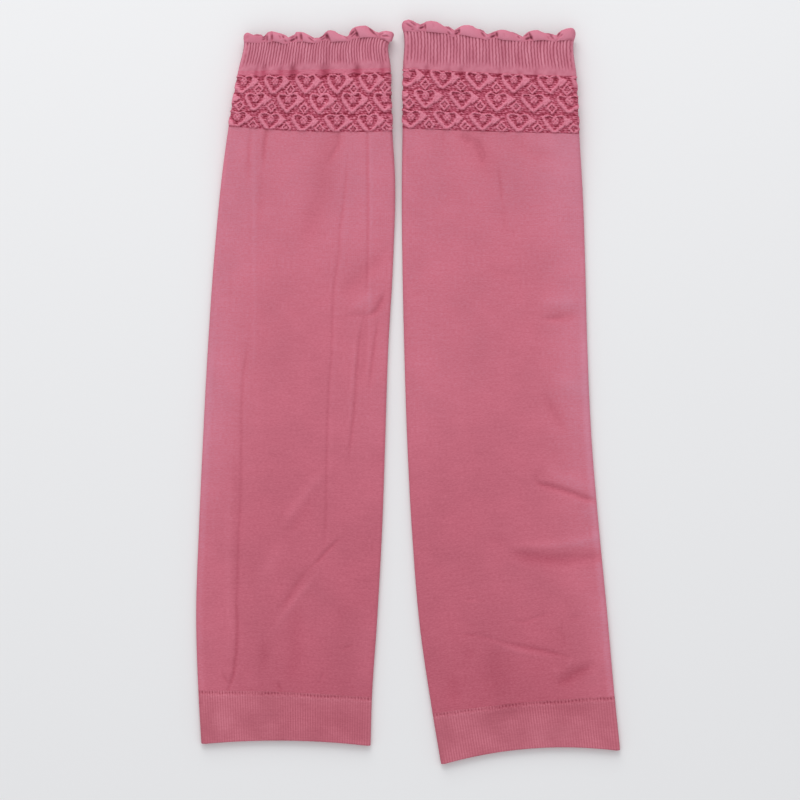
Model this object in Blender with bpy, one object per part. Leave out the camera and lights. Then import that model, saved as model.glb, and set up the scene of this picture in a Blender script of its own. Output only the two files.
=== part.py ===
"""A pair of seamless knitted arm sleeves, laid flat side by side with their tops together.

Each sleeve is one tube knitted in the round, so it has no side seams. It is modelled as the five stretches
that the knitting changes at, from the top: a scalloped frill, a ribbed band, a band of raised hearts, the
plain body and the turned cuff. Every stretch is a flattened tube, open at both ends, with its underside
on z = 0. X runs across the pair, Y up the sleeves, and the tables below are in millimetres.
"""

import math
from collections import namedtuple

import bmesh
import bpy
import numpy as np
from mathutils import Vector
from mathutils.geometry import delaunay_2d_cdt

MM = 0.001

# The cloth, in millimetres
WALL = 1.0
SLACK = 0.4
FLAT_HEIGHT = 2 * WALL + SLACK
FOLD_REACH = 2.2
FOLD_STEPS = 8
SEAM_GAP = 0.3
SHARP_ANGLE = math.radians(38)

# The two edges of a sleeve at each station, and how far the middle of the line between them rises
Station = namedtuple("Station", "name left_x left_y right_x right_y rise")

LEFT_SLEEVE = (
    Station("frill_edge", -91.8, 199.6, -8.0, 201.0, 0.0),
    Station("rib_top", -91.6, 196.2, -10.1, 197.2, 0.3),
    Station("hearts_top", -94.9, 179.2, -9.8, 180.9, 0.0),
    Station("body_top", -100.4, 148.4, -8.7, 145.6, 0.4),
    Station("upper_arm", -103.6, 125.4, -7.3, 122.1, 0.5),
    Station("above_elbow", -108.5, 75.6, -8.4, 72.2, 0.5),
    Station("elbow", -112.0, 25.2, -11.2, 21.8, 0.5),
    Station("below_elbow", -114.7, -25.2, -12.8, -28.6, 0.5),
    Station("forearm", -117.0, -75.6, -14.6, -79.0, 0.6),
    Station("lower_forearm", -118.6, -126.0, -17.4, -129.4, 0.8),
    Station("cuff_top", -117.4, -166.9, -20.2, -170.8, 1.0),
    Station("hem", -115.1, -196.3, -21.6, -198.0, 2.8),
)

RIGHT_SLEEVE = (
    Station("frill_edge", -3.4, 205.0, 93.6, 200.2, -1.4),
    Station("rib_top", -2.5, 201.0, 92.7, 196.8, -0.9),
    Station("hearts_top", -2.7, 180.9, 94.1, 176.4, -0.4),
    Station("body_top", -3.1, 147.3, 95.8, 144.2, -0.2),
    Station("upper_arm", -3.5, 109.2, 98.0, 106.4, 0.0),
    Station("above_elbow", -3.2, 75.0, 99.1, 73.4, 0.0),
    Station("elbow", -2.1, 23.0, 100.4, 24.1, 0.2),
    Station("below_elbow", -0.4, -29.1, 102.6, -24.6, 0.4),
    Station("forearm", 2.4, -81.2, 106.6, -73.4, 0.6),
    Station("lower_forearm", 6.7, -132.2, 111.4, -123.2, 0.9),
    Station("cuff_top", 13.7, -179.8, 115.6, -170.2, 1.3),
    Station("hem", 18.5, -208.3, 118.7, -200.5, 4.8),
)

# The frill's ten lobes all round the tube: how far round each ends, and its rise. The front is from 0 to 1
# and the underside from 1 to 2, and the first lobe starts where the last one ends.
Lobe = namedtuple("Lobe", "end rise")

LEFT_LOBES = (
    Lobe(0.12, 1.4), Lobe(0.30, 2.3), Lobe(0.48, 2.3), Lobe(0.69, 3.4), Lobe(0.87, 4.9),
    Lobe(1.08, 3.0), Lobe(1.28, 2.6), Lobe(1.49, 3.0), Lobe(1.68, 2.6), Lobe(1.90, 2.8),
)
RIGHT_LOBES = (
    Lobe(0.10, 3.4), Lobe(0.31, 4.1), Lobe(0.50, 3.4), Lobe(0.69, 2.1), Lobe(0.87, 2.7),
    Lobe(1.07, 3.1), Lobe(1.27, 2.8), Lobe(1.47, 2.5), Lobe(1.69, 3.0), Lobe(1.89, 3.2),
)
LOBE_STEPS = 7
LOBE_PUFF = 0.9
LOBE_ROUNDNESS = 0.7

# Rows up the frill: how far up each is, and how far its front is lowered to round the edge
FRILL_ROWS = ((0.0, 0.0), (0.4, 0.0), (0.8, 0.0), (1.0, 0.35))

# The ribbed band
RIBS_ACROSS = 50
RIB_HEIGHT = 0.4

# Rows down the ribbed band: how far down each is, and how strong its ribs are
RIB_ROWS = ((0.0, 1.0), (0.6, 1.0), (0.85, 0.15), (1.0, 0.0))

# The hearts: three rows, every second row moved by half a heart
HEART_ROWS = 3
HEART_START = 0.05
HEART_PITCH = 0.2035
HEART_WIDTH = 12.8
HEART_HEIGHT = 8.2
HEART_LINE = 0.9
HEART_RISE = 0.8
HEART_POINTS = 16
PATCH_PLACE = 1.35
PATCH_SPREAD = 0.5
PATCH_REACH = 1.0
CREST_SIZE = 0.22
CREST_LINE = 1.0
CREST_RISE = 0.7
DIAMOND_WIDTH = 4.2
DIAMOND_LINE = 0.85
DIAMOND_RISE = 0.6
DIAMOND_DROP = 2.3

# Soft folds in the plain body: a ridge has a positive height and a trough a negative one
Fold = namedtuple("Fold", "start_x start_y end_x end_y half_width height")

LEFT_FOLDS = (
    Fold(-39.0, 141.0, -57.0, 88.0, 5.0, -0.40),
    Fold(-33.6, 126.6, -40.9, 67.2, 2.2, -0.30),
    Fold(-41.2, 63.0, -44.8, 6.7, 2.2, -0.35),
    Fold(-44.9, 2.0, -45.9, -60.5, 2.0, -0.30),
    Fold(-36.4, 43.7, -18.5, 56.0, 4.0, 0.45),
    Fold(-90.2, 22.4, -93.0, -21.3, 2.0, -0.30),
    Fold(-93.2, -26.0, -96.9, -99.7, 2.2, -0.35),
    Fold(-96.9, -104.0, -95.8, -150.0, 2.4, -0.45),
    Fold(-47.6, -43.7, -67.8, -70.6, 5.0, 0.40),
    Fold(-69.5, -73.0, -85.7, -105.3, 5.0, 0.35),
    Fold(-35.8, -81.8, -72.2, -119.8, 3.2, -0.50),
    Fold(-49.8, -101.8, -76.7, -134.4, 4.0, 0.45),
)
RIGHT_FOLDS = (
    Fold(30.8, 141.5, 41.4, 128.0, 3.6, -0.40),
    Fold(47.0, 140.0, 54.0, 126.0, 3.6, 0.35),
    Fold(75.6, -38.1, 92.0, -46.5, 4.0, 0.50),
    Fold(71.1, -48.4, 96.0, -57.0, 3.4, -0.60),
    Fold(59.9, -82.0, 98.0, -80.5, 4.4, 0.50),
    Fold(55.4, -91.2, 77.8, -94.1, 4.0, -0.55),
    Fold(79.0, -94.0, 101.0, -89.5, 4.0, -0.60),
    Fold(43.1, -136.6, 62.2, -142.2, 3.0, -0.35),
    Fold(63.5, -142.6, 90.2, -147.8, 3.4, -0.45),
    Fold(82.3, -163.5, 96.9, -156.8, 3.4, -0.50),
)

# How finely the plain surfaces are divided: rows down the sleeve and columns across it
HEART_GRID = (5, 17)
BODY_GRID = (15, 9)
CUFF_GRID = (4, 13)
UNDER_COLUMNS = np.linspace(1, 0, 6)
FOLD_POINTS = 4

# Triangulating a front: relief points keep clear of its border, near points merge, and the faces are
# those inside the border
BORDER_MARGIN = 0.7
POINT_MERGE = 0.05
INSIDE_FACES = 1

Ring = namedtuple("Ring", "across reach side")


# Where a point of a sleeve lies

def smooth_through(places, stations, values):
    """Cubic curve through the stations' values, whose slope at a station comes from both neighbours."""
    slopes = np.gradient(values, stations, axis=0)
    first = np.clip(np.searchsorted(stations, places) - 1, 0, len(stations) - 2)
    span = (stations[first + 1] - stations[first])[:, None]
    u = (places[:, None] - stations[first][:, None]) / span
    start = (2 * u**3 - 3 * u**2 + 1) * values[first] + (u**3 - 2 * u**2 + u) * span * slopes[first]
    end = (3 * u**2 - 2 * u**3) * values[first + 1] + (u**3 - u**2) * span * slopes[first + 1]
    return start + end


def distances_down(sleeve):
    """How far each station's middle lies from the first station's, along the sleeve."""
    middles = np.array([((s.left_x + s.right_x) / 2, (s.left_y + s.right_y) / 2) for s in sleeve])
    steps = np.linalg.norm(np.diff(middles, axis=0), axis=1)
    return np.concatenate([[0.0], np.cumsum(steps)])


def distance_to(sleeve, name):
    """How far down the sleeve the named station is."""
    names = [station.name for station in sleeve]
    return distances_down(sleeve)[names.index(name)]


def place(sleeve, down, across, reach=0.0, lift=0.0):
    """X and Y of points at a distance down the sleeve and a share of the way across it.

    across is 0 and 1 where the flat cloth meets the rolls of its two folds. reach moves a point sideways
    and lift moves it up the sleeve, both in millimetres.
    """
    down, across = np.broadcast_arrays(np.asarray(down, float), np.asarray(across, float))
    values = np.array([station[1:] for station in sleeve])
    edges = smooth_through(down.ravel(), distances_down(sleeve), values).reshape(down.shape + (5,))
    left = edges[..., 0:2]
    along = edges[..., 2:4] - left
    width = np.linalg.norm(along, axis=-1)
    sideways = along / width[..., None]
    upwards = np.stack([-sideways[..., 1], sideways[..., 0]], axis=-1)
    offset = FOLD_REACH + across * (width - 2 * FOLD_REACH) + reach
    bow = edges[..., 4] * 4 * across * (1 - across) + lift
    return left + offset[..., None] * sideways + bow[..., None] * upwards


def ring_round(front, under):
    """Points once round a flat tube: over the front, round a fold, back underneath, round the other.

    reach is how far a point lies out over its fold, from -1 to 1. side is 1 on top and -1 underneath.
    """
    turn = np.linspace(0, math.pi, FOLD_STEPS + 1)[1:-1]
    across = np.concatenate([front, np.ones_like(turn), under, np.zeros_like(turn)])
    reach = np.concatenate([0 * front, np.sin(turn), 0 * under, -np.sin(turn)])
    side = np.concatenate([1 + 0 * front, np.cos(turn), -1 + 0 * under, -np.cos(turn)])
    return Ring(across, reach, side)


# Building a tube's walls

def add_loft(bm, rings, skip=0):
    """Join closed rings of points with four-sided faces, leaving out the first columns if asked."""
    rows = [[bm.verts.new(point) for point in ring] for ring in rings]
    count = len(rows[0])
    for upper, lower in zip(rows, rows[1:]):
        for column in range(skip, count):
            after = (column + 1) % count
            bm.faces.new((upper[column], lower[column], lower[after], upper[after]))


def points_3d(flat, heights):
    """Points in metres from their X and Y and their heights in millimetres."""
    heights = np.broadcast_to(heights, flat.shape[:-1])
    return np.concatenate([flat, heights[..., None]], axis=-1) * MM


def add_tube(bm, outer, inner, skip=0):
    """The outer wall, the inner wall and the two ends of a tube, from its rings of points."""
    add_loft(bm, outer, skip)
    add_loft(bm, inner)
    add_loft(bm, [outer[0], inner[0]])
    add_loft(bm, [outer[-1], inner[-1]])


def finish_piece(name, bm, material, collection):
    """Close the tube where its faces share points, turn its faces outwards and name it."""
    bmesh.ops.remove_doubles(bm, verts=bm.verts, dist=0.01 * MM)
    bmesh.ops.triangulate(bm, faces=bm.faces)
    bmesh.ops.recalc_face_normals(bm, faces=bm.faces)
    mesh = bpy.data.meshes.new(name)
    bm.to_mesh(mesh)
    bm.free()
    mesh.shade_smooth()
    mesh.set_sharp_from_angle(angle=SHARP_ANGLE)
    mesh.materials.append(material)
    piece = bpy.data.objects.new(name, mesh)
    collection.objects.link(piece)
    return piece


def plain_rings(sleeve, downs, ring, front_height):
    """Outer and inner rings of a flat tube whose front is raised by front_height(points)."""
    half = FLAT_HEIGHT / 2
    down = np.asarray(downs)[:, None] + 0 * ring.across
    outer_flat = place(sleeve, down, ring.across[None], ring.reach * FOLD_REACH)
    inner_flat = place(sleeve, down, ring.across[None], ring.reach * (FOLD_REACH - WALL))
    raised = np.where(ring.side == 1, front_height(outer_flat), 0)
    outer = points_3d(outer_flat, half * (1 + ring.side) + raised)
    inner = points_3d(inner_flat, half + (half - WALL) * ring.side)
    return outer, inner


# Relief: lines and small points that stand out of, or sink into, the front

def distance_from_lines(points, starts, ends):
    """Distance of every point from every straight line between its start and its end."""
    direction = ends - starts
    length_squared = np.maximum((direction**2).sum(axis=1), 1e-9)
    offset = points[..., None, :] - starts
    share = np.clip((offset * direction).sum(axis=-1) / length_squared, 0, 1)
    nearest = starts + share[..., None] * direction
    return np.linalg.norm(points[..., None, :] - nearest, axis=-1)


def relief_height(lines):
    """A function of X and Y that gives the highest ridge plus the deepest trough at a point.

    Each line has a start, an end, a half width and a height, and slopes evenly to both sides.
    """
    starts = np.array([line[0] for line in lines])
    ends = np.array([line[1] for line in lines])
    widths = np.array([line[2] for line in lines])
    heights = np.array([line[3] for line in lines])

    def height(points):
        slope = np.clip(1 - distance_from_lines(points, starts, ends) / widths, 0, 1)
        raised = slope * heights
        return np.maximum(raised, 0).max(axis=-1) + np.minimum(raised, 0).min(axis=-1)

    return height


def well_inside(points, border):
    """Which points lie within the border and clear of it, by counting the sides on their right."""
    after = np.roll(border, -1, axis=0)
    clear = distance_from_lines(points, border, after).min(axis=1) > BORDER_MARGIN
    x, y = points[:, :1], points[:, 1:]
    passed = (border[:, 1] > y) != (after[:, 1] > y)
    climb = np.where(after[:, 1] == border[:, 1], 1.0, after[:, 1] - border[:, 1])
    side_x = border[:, 0] + (y - border[:, 1]) / climb * (after[:, 0] - border[:, 0])
    return clear & ((passed & (x < side_x)).sum(axis=1) % 2 == 1)


def front_border(outer, columns):
    """The front's edge as X and Y, anticlockwise, from the points of the rings that bound it."""
    front = outer[:, :columns, :2] / MM
    return np.concatenate([front[-1], front[-2:0:-1, -1], front[0, ::-1], front[1:-1, 0]])


def add_relief_front(bm, border, loops, height):
    """Triangles over the front, with corners on its border and along each loop of relief points."""
    points = [Vector(point) for point in border]
    edges = []
    for loop, closed in loops:
        kept = well_inside(loop, border)
        numbers = len(points) - 1 + np.cumsum(kept)
        points.extend(Vector(point) for point in loop[kept])
        last = len(loop) if closed else len(loop) - 1
        pairs = [(index, (index + 1) % len(loop)) for index in range(last)]
        edges.extend((int(numbers[a]), int(numbers[b])) for a, b in pairs if kept[a] and kept[b])
    outline = list(range(len(border)))
    flat, _, faces, *_ = delaunay_2d_cdt(points, edges, [outline], INSIDE_FACES, POINT_MERGE)
    flat = np.array([tuple(point) for point in flat])
    corners = [bm.verts.new(point) for point in points_3d(flat, FLAT_HEIGHT + height(flat))]
    for face in faces:
        bm.faces.new([corners[index] for index in face])


def relief_tube(name, sleeve, stretch, grid, lines, loops, material, collection):
    """A flat tube from one distance down the sleeve to another, with relief lines on its front.

    grid is how many rows and columns of points bound the front.
    """
    rows, columns = grid
    downs = np.linspace(stretch[0] + SEAM_GAP / 2, stretch[1] - SEAM_GAP / 2, rows)
    ring = ring_round(np.linspace(0, 1, columns), UNDER_COLUMNS)
    height = relief_height(lines)
    outer, inner = plain_rings(sleeve, downs, ring, height)
    bm = bmesh.new()
    add_tube(bm, outer, inner, skip=columns - 1)
    add_relief_front(bm, front_border(outer, columns), loops, height)
    return finish_piece(name, bm, material, collection)


def ridge_loops(start, end, half_width):
    """Points along a ridge or trough: its middle line, and the foot of its slopes all round."""
    along = (end - start) / np.linalg.norm(end - start)
    sideways = np.array([-along[1], along[0]]) * half_width
    middle = start + np.linspace(0, 1, FOLD_POINTS)[:, None] * (end - start)
    tip, tail = start - along * half_width, end + along * half_width
    foot = np.concatenate([[tip], middle + sideways, [tail], (middle - sideways)[::-1]])
    return [(middle, False), (foot, True)]


# The five stretches of a sleeve

def lobe_limits(lobes):
    """How far round the tube each lobe starts and ends."""
    ends = np.array([lobe.end for lobe in lobes])
    return np.concatenate([[ends[-1] - 2], ends[:-1]]), ends


def lobe_arch(around, lobes):
    """An arch over each lobe, from 0 at its pinches to 1 in its middle, and each point's lobe number."""
    starts, ends = lobe_limits(lobes)
    around = np.where(around > ends[-1], around - 2, around)
    index = np.searchsorted(ends, around - 1e-6)
    share = (around - starts[index]) / (ends[index] - starts[index])
    return np.sin(math.pi * np.clip(share, 0, 1)) ** LOBE_ROUNDNESS, index


def lobe_columns(lobes):
    """Places round the tube, evenly spaced inside each lobe, and one on each fold."""
    starts, ends = lobe_limits(lobes)
    shares = np.linspace(0, 1, LOBE_STEPS, endpoint=False)
    places = (starts[:, None] + shares * (ends - starts)[:, None]).ravel() % 2
    return np.unique(np.round(np.append(places, (0.0, 1.0, 2.0)), 4))


def frill(name, sleeve, lobes, material, collection):
    """The scalloped edge: lobes that puff out and stand up between tight pinches."""
    columns = lobe_columns(lobes)
    ring = ring_round(columns[columns <= 1], 2 - columns[columns >= 1])
    arch, index = lobe_arch(np.where(ring.side == -1, 2 - ring.across, ring.across), lobes)
    rise = arch * np.array([lobe.rise for lobe in lobes])[index]
    on_top = np.clip(ring.side, 0, 1)
    bottom = distance_to(sleeve, "rib_top") - SEAM_GAP / 2
    half = FLAT_HEIGHT / 2
    outer, inner = [], []
    for share, drop in FRILL_ROWS:
        down = bottom * (1 - share) + 0 * ring.across
        flat = place(sleeve, down, ring.across, ring.reach * FOLD_REACH, rise * share)
        puff = arch * LOBE_PUFF * math.sin(math.pi * (0.2 + 0.6 * share)) - drop
        outer.append(points_3d(flat, half * (1 + ring.side) + puff * on_top))
        flat = place(sleeve, down, ring.across, ring.reach * (FOLD_REACH - WALL), rise * share)
        inner.append(points_3d(flat, half + (half - WALL) * ring.side))
    bm = bmesh.new()
    add_tube(bm, outer, [inner[0], inner[-1]])
    return finish_piece(name, bm, material, collection)


def ribs(name, sleeve, material, collection):
    """The ribbed band: fifty ribs over the front that fade out just above the hearts."""
    top = distance_to(sleeve, "rib_top") + SEAM_GAP / 2
    bottom = distance_to(sleeve, "hearts_top") - SEAM_GAP / 2
    ring = ring_round(np.linspace(0, 1, 2 * RIBS_ACROSS + 1), UNDER_COLUMNS)
    crest = (ring.side == 1) * (np.arange(len(ring.side)) % 2)
    half = FLAT_HEIGHT / 2
    outer, inner = [], []
    for share, strength in RIB_ROWS:
        down = top + share * (bottom - top) + 0 * ring.across
        flat = place(sleeve, down, ring.across, ring.reach * FOLD_REACH)
        outer.append(points_3d(flat, half * (1 + ring.side) + crest * strength * RIB_HEIGHT))
        flat = place(sleeve, down, ring.across, ring.reach * (FOLD_REACH - WALL))
        inner.append(points_3d(flat, half + (half - WALL) * ring.side))
    bm = bmesh.new()
    add_tube(bm, outer, [inner[0], inner[-1]])
    return finish_piece(name, bm, material, collection)


def heart_outline():
    """A heart about its middle and its line's half width, from x = sin^3 and y of four cosines.

    The yarn carried behind the heart bunches up in its right lobe, where the line is widened to a patch.
    """
    t = np.linspace(0, 2 * math.pi, HEART_POINTS, endpoint=False)
    x = np.sin(t) ** 3
    y = (13 * np.cos(t) - 5 * np.cos(2 * t) - 2 * np.cos(3 * t) - np.cos(4 * t)) / 29 + 0.086
    patch = np.exp(-(((t - PATCH_PLACE) / PATCH_SPREAD) ** 2)) * PATCH_REACH
    outline = np.stack([x * HEART_WIDTH / 2 + patch, y * HEART_HEIGHT], axis=1)
    return outline, HEART_LINE + patch


def shrunk(outline, distance):
    """The outline moved inwards by a distance, or outwards by a negative one."""
    tangent = np.roll(outline, -1, axis=0) - np.roll(outline, 1, axis=0)
    inwards = np.stack([tangent[:, 1], -tangent[:, 0]], axis=1) / np.linalg.norm(tangent, axis=1)[:, None]
    return outline + np.reshape(distance, (-1, 1)) * inwards


def diamond():
    """Four corners of a diamond about its middle, from the top and on to the right."""
    return np.array([(0, 1), (1, 0), (0, -1), (-1, 0)]) * DIAMOND_WIDTH / 2


def hearts(name, sleeve, material, collection):
    """The band of hearts: raised outlines with a small crest inside and a diamond between two hearts."""
    top, bottom = distance_to(sleeve, "hearts_top"), distance_to(sleeve, "body_top")
    row_height = (bottom - top) / HEART_ROWS
    heart, half_widths = heart_outline()
    lines, loops = [], []

    def raise_outline(outline, widths, rise, feet):
        after = np.roll(outline, -1, axis=0)
        lines.extend((a, b, width, rise) for a, b, width in zip(outline, after, widths))
        loops.extend((shrunk(outline, foot * widths), True) for foot in feet)

    for row in range(HEART_ROWS):
        middle = top + (row + 0.5) * row_height
        shift = 0.5 * HEART_PITCH * (row % 2)
        for across in np.arange(HEART_START - HEART_PITCH, 1 + HEART_PITCH, HEART_PITCH) + shift:
            centre = place(sleeve, middle, across)
            raise_outline(centre + heart, half_widths, HEART_RISE, (-1, 0, 1))
            crest = centre + heart[::2] * CREST_SIZE
            raise_outline(crest, np.full(len(crest), CREST_LINE), CREST_RISE, (-1, 0))
            between = place(sleeve, middle + DIAMOND_DROP, across + HEART_PITCH / 2)
            raise_outline(between + diamond(), np.full(4, DIAMOND_LINE), DIAMOND_RISE, (-1, 0, 1))
    return relief_tube(name, sleeve, (top, bottom), HEART_GRID, lines, loops, material, collection)


def body(name, sleeve, folds, material, collection):
    """The plain stretch over the arm, with its largest soft folds."""
    stretch = distance_to(sleeve, "body_top"), distance_to(sleeve, "cuff_top")
    lines, loops = [], []
    for fold in folds:
        start, end = np.array([fold.start_x, fold.start_y]), np.array([fold.end_x, fold.end_y])
        lines.append((start, end, fold.half_width, fold.height))
        loops.extend(ridge_loops(start, end, fold.half_width))
    return relief_tube(name, sleeve, stretch, BODY_GRID, lines, loops, material, collection)


def cuff(name, sleeve, material, collection):
    """The turned hem at the wrist."""
    top = distance_to(sleeve, "cuff_top") + SEAM_GAP / 2
    bottom = distance_to(sleeve, "hem")
    rows, columns = CUFF_GRID
    ring = ring_round(np.linspace(0, 1, columns), UNDER_COLUMNS)
    outer, inner = plain_rings(sleeve, np.linspace(top, bottom, rows), ring, lambda points: 0)
    bm = bmesh.new()
    add_tube(bm, outer, inner)
    return finish_piece(name, bm, material, collection)


# The yarn's colours, as the knit structure shades them

def knit_material(name, colour, roughness):
    material = bpy.data.materials.new(name)
    material.use_nodes = True
    shader = material.node_tree.nodes["Principled BSDF"]
    shader.inputs["Base Color"].default_value = (*colour, 1.0)
    shader.inputs["Roughness"].default_value = roughness
    shader.inputs["Metallic"].default_value = 0.0
    return material


def build():
    for old in list(bpy.data.objects):
        bpy.data.objects.remove(old, do_unlink=True)
    collection = bpy.data.collections.new("arm_sleeves")
    bpy.context.scene.collection.children.link(collection)

    welt = knit_material("rolled_welt_knit", (0.571, 0.168, 0.231), 0.85)
    ribbed = knit_material("ribbed_knit", (0.515, 0.156, 0.216), 0.88)
    jacquard = knit_material("heart_jacquard_knit", (0.451, 0.105, 0.156), 0.88)
    jersey = knit_material("plain_jersey_knit", (0.546, 0.156, 0.216), 0.85)
    turned = knit_material("turned_cuff_knit", (0.451, 0.122, 0.171), 0.88)

    for side, sleeve, lobes, folds in (
        ("left", LEFT_SLEEVE, LEFT_LOBES, LEFT_FOLDS),
        ("right", RIGHT_SLEEVE, RIGHT_LOBES, RIGHT_FOLDS),
    ):
        frill(side + "_frill", sleeve, lobes, welt, collection)
        ribs(side + "_ribs", sleeve, ribbed, collection)
        hearts(side + "_hearts", sleeve, jacquard, collection)
        body(side + "_body", sleeve, folds, jersey, collection)
        cuff(side + "_cuff", sleeve, turned, collection)


build()
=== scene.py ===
# %% [markdown]
# # A pair of knitted arm sleeves
#
# The real pair is knitted in the round on a small circular machine, so each sleeve is one tube with no side
# seams. It lies pressed flat on a pale table, and only the knitting changes on the way down: a scalloped
# frill, narrow ribs, a band of raised hearts, a long plain stretch, and a turned cuff.
#
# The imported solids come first. Every piece made below takes the place of one of them, in the same frame.

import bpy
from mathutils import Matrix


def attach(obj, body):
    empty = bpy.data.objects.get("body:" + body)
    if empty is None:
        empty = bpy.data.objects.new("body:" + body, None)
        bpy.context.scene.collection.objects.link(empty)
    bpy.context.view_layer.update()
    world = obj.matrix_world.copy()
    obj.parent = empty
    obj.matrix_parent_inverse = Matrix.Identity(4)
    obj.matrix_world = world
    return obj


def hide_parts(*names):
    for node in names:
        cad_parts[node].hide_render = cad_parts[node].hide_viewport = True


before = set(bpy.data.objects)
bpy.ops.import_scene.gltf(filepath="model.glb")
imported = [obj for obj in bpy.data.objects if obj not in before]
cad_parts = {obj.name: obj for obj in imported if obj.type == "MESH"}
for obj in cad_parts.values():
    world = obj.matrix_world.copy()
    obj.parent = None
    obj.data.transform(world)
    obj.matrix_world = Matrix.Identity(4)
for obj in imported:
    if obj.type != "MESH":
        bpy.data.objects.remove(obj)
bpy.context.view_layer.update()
print("solids:", ", ".join(sorted(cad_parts)))

# %% [markdown]
# ## Millimetres and the outline of a sleeve
#
# A flat-laid sleeve is drawn by its two fold edges. A table gives both edges at twelve places down it, and
# a cubic curve joins them. It could be drawn with a curve object and lofted, but a table in millimetres is
# easier to check against a ruler, and the folds, ribs and hearts can all be placed by it.

# %% The two outlines
from collections import namedtuple

import bpy
import numpy as np
from mathutils import Vector

MM = 0.001
FLAT_HEIGHT = 2.4
FOLD_REACH = 2.2
WALL = 1.0
THICK_TOP = 5.0
THICK_BODY = 0.6
THICK_FADE = (40.0, 120.0)

Station = namedtuple("Station", "name left_x left_y right_x right_y rise")

LEFT_SLEEVE = (
    Station("frill_edge", -91.8, 199.6, -8.0, 201.0, 0.0),
    Station("rib_top", -91.6, 196.2, -10.1, 197.2, 0.3),
    Station("hearts_top", -94.9, 179.2, -9.8, 180.9, 0.0),
    Station("body_top", -100.4, 148.4, -8.7, 145.6, -1.5),
    Station("upper_arm", -103.6, 125.4, -7.3, 122.1, 0.5),
    Station("above_elbow", -108.5, 75.6, -8.4, 72.2, 0.5),
    Station("elbow", -112.0, 25.2, -11.2, 21.8, 0.5),
    Station("below_elbow", -114.7, -25.2, -12.8, -28.6, 0.5),
    Station("forearm", -117.0, -75.6, -14.6, -79.0, 0.6),
    Station("lower_forearm", -118.6, -126.0, -17.4, -129.4, 0.8),
    Station("cuff_top", -117.4, -166.9, -20.2, -170.8, 1.0),
    Station("hem", -115.7, -196.9, -21.0, -198.0, 2.35),
)
RIGHT_SLEEVE = (
    Station("frill_edge", -3.4, 205.0, 93.6, 200.2, -1.4),
    Station("rib_top", -2.5, 201.0, 92.7, 196.8, -0.9),
    Station("hearts_top", -2.7, 180.9, 94.1, 176.4, -0.4),
    Station("body_top", -3.1, 147.3, 95.8, 144.2, -0.2),
    Station("upper_arm", -3.5, 109.2, 98.0, 106.4, 0.0),
    Station("above_elbow", -3.2, 75.0, 99.1, 73.4, 0.0),
    Station("elbow", -2.1, 23.0, 100.4, 24.1, 0.2),
    Station("below_elbow", -0.4, -29.1, 102.6, -24.6, 0.4),
    Station("forearm", 2.4, -81.2, 106.6, -73.4, 0.6),
    Station("lower_forearm", 6.7, -132.2, 111.4, -123.2, 0.9),
    Station("cuff_top", 13.7, -179.8, 115.6, -170.2, 1.3),
    Station("hem", 18.5, -208.3, 118.7, -200.5, 4.8),
)
print("left sleeve", LEFT_SLEEVE[0].left_y - LEFT_SLEEVE[-1].left_y, "mm long at its left edge")

# %% [markdown]
# ## From shares to places
#
# Any point of the cloth is named by how far down the sleeve it lies and what share of the way across. These
# three helpers turn such names into X and Y. They work on whole arrays, so a stretch of cloth with tens of
# thousands of points takes one call.

# %% Where a point of the cloth lies
def smooth_through(places, stations, values):
    """Cubic curve through the values at the stations, with each slope taken from both neighbours."""
    slopes = np.gradient(values, stations, axis=0)
    first = np.clip(np.searchsorted(stations, places) - 1, 0, len(stations) - 2)
    span = (stations[first + 1] - stations[first])[:, None]
    u = (places[:, None] - stations[first][:, None]) / span
    start = (2 * u**3 - 3 * u**2 + 1) * values[first] + (u**3 - 2 * u**2 + u) * span * slopes[first]
    end = (3 * u**2 - 2 * u**3) * values[first + 1] + (u**3 - u**2) * span * slopes[first + 1]
    return start + end


def fade_between(value, start, end):
    """0 before the start and 1 after the end, with a soft curve between."""
    share = np.clip((value - start) / (end - start), 0, 1)
    return share * share * (3 - 2 * share)


def distances_down(sleeve):
    """Distance of each station from the first, measured through the middles of the stations."""
    middles = np.array([((s.left_x + s.right_x) / 2, (s.left_y + s.right_y) / 2) for s in sleeve])
    return np.concatenate([[0.0], np.cumsum(np.linalg.norm(np.diff(middles, axis=0), axis=1))])


def distance_to(sleeve, name):
    """How far down the sleeve the named station is, in millimetres."""
    return distances_down(sleeve)[[station.name for station in sleeve].index(name)]


def rows_between(sleeve, start, end, count, short=0.0):
    """Distances down the sleeve of evenly spaced rows between two stations, or short of the second."""
    return np.linspace(distance_to(sleeve, start), distance_to(sleeve, end) - short, count)


def place(sleeve, down, across, reach=0.0):
    """X, Y and the sideways direction of points at a distance down and a share of the way across.

    The point is the left edge, plus the share of the way to the right edge, plus a bow of 4 s (1 - s) times
    the station's rise. reach moves it sideways in millimetres.
    """
    down, across = np.broadcast_arrays(np.asarray(down, float), np.asarray(across, float))
    values = np.array([station[1:] for station in sleeve])
    edges = smooth_through(down.ravel(), distances_down(sleeve), values).reshape(down.shape + (5,))
    along = edges[..., 2:4] - edges[..., 0:2]
    width = np.linalg.norm(along, axis=-1)
    sideways = along / width[..., None]
    upwards = np.stack([-sideways[..., 1], sideways[..., 0]], axis=-1)
    offset = FOLD_REACH + across * (width - 2 * FOLD_REACH) + reach
    bow = edges[..., 4] * 4 * across * (1 - across)
    return edges[..., 0:2] + offset[..., None] * sideways + bow[..., None] * upwards, sideways


print("left cuff starts", round(distance_to(LEFT_SLEEVE, "cuff_top")), "mm down the sleeve")

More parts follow.
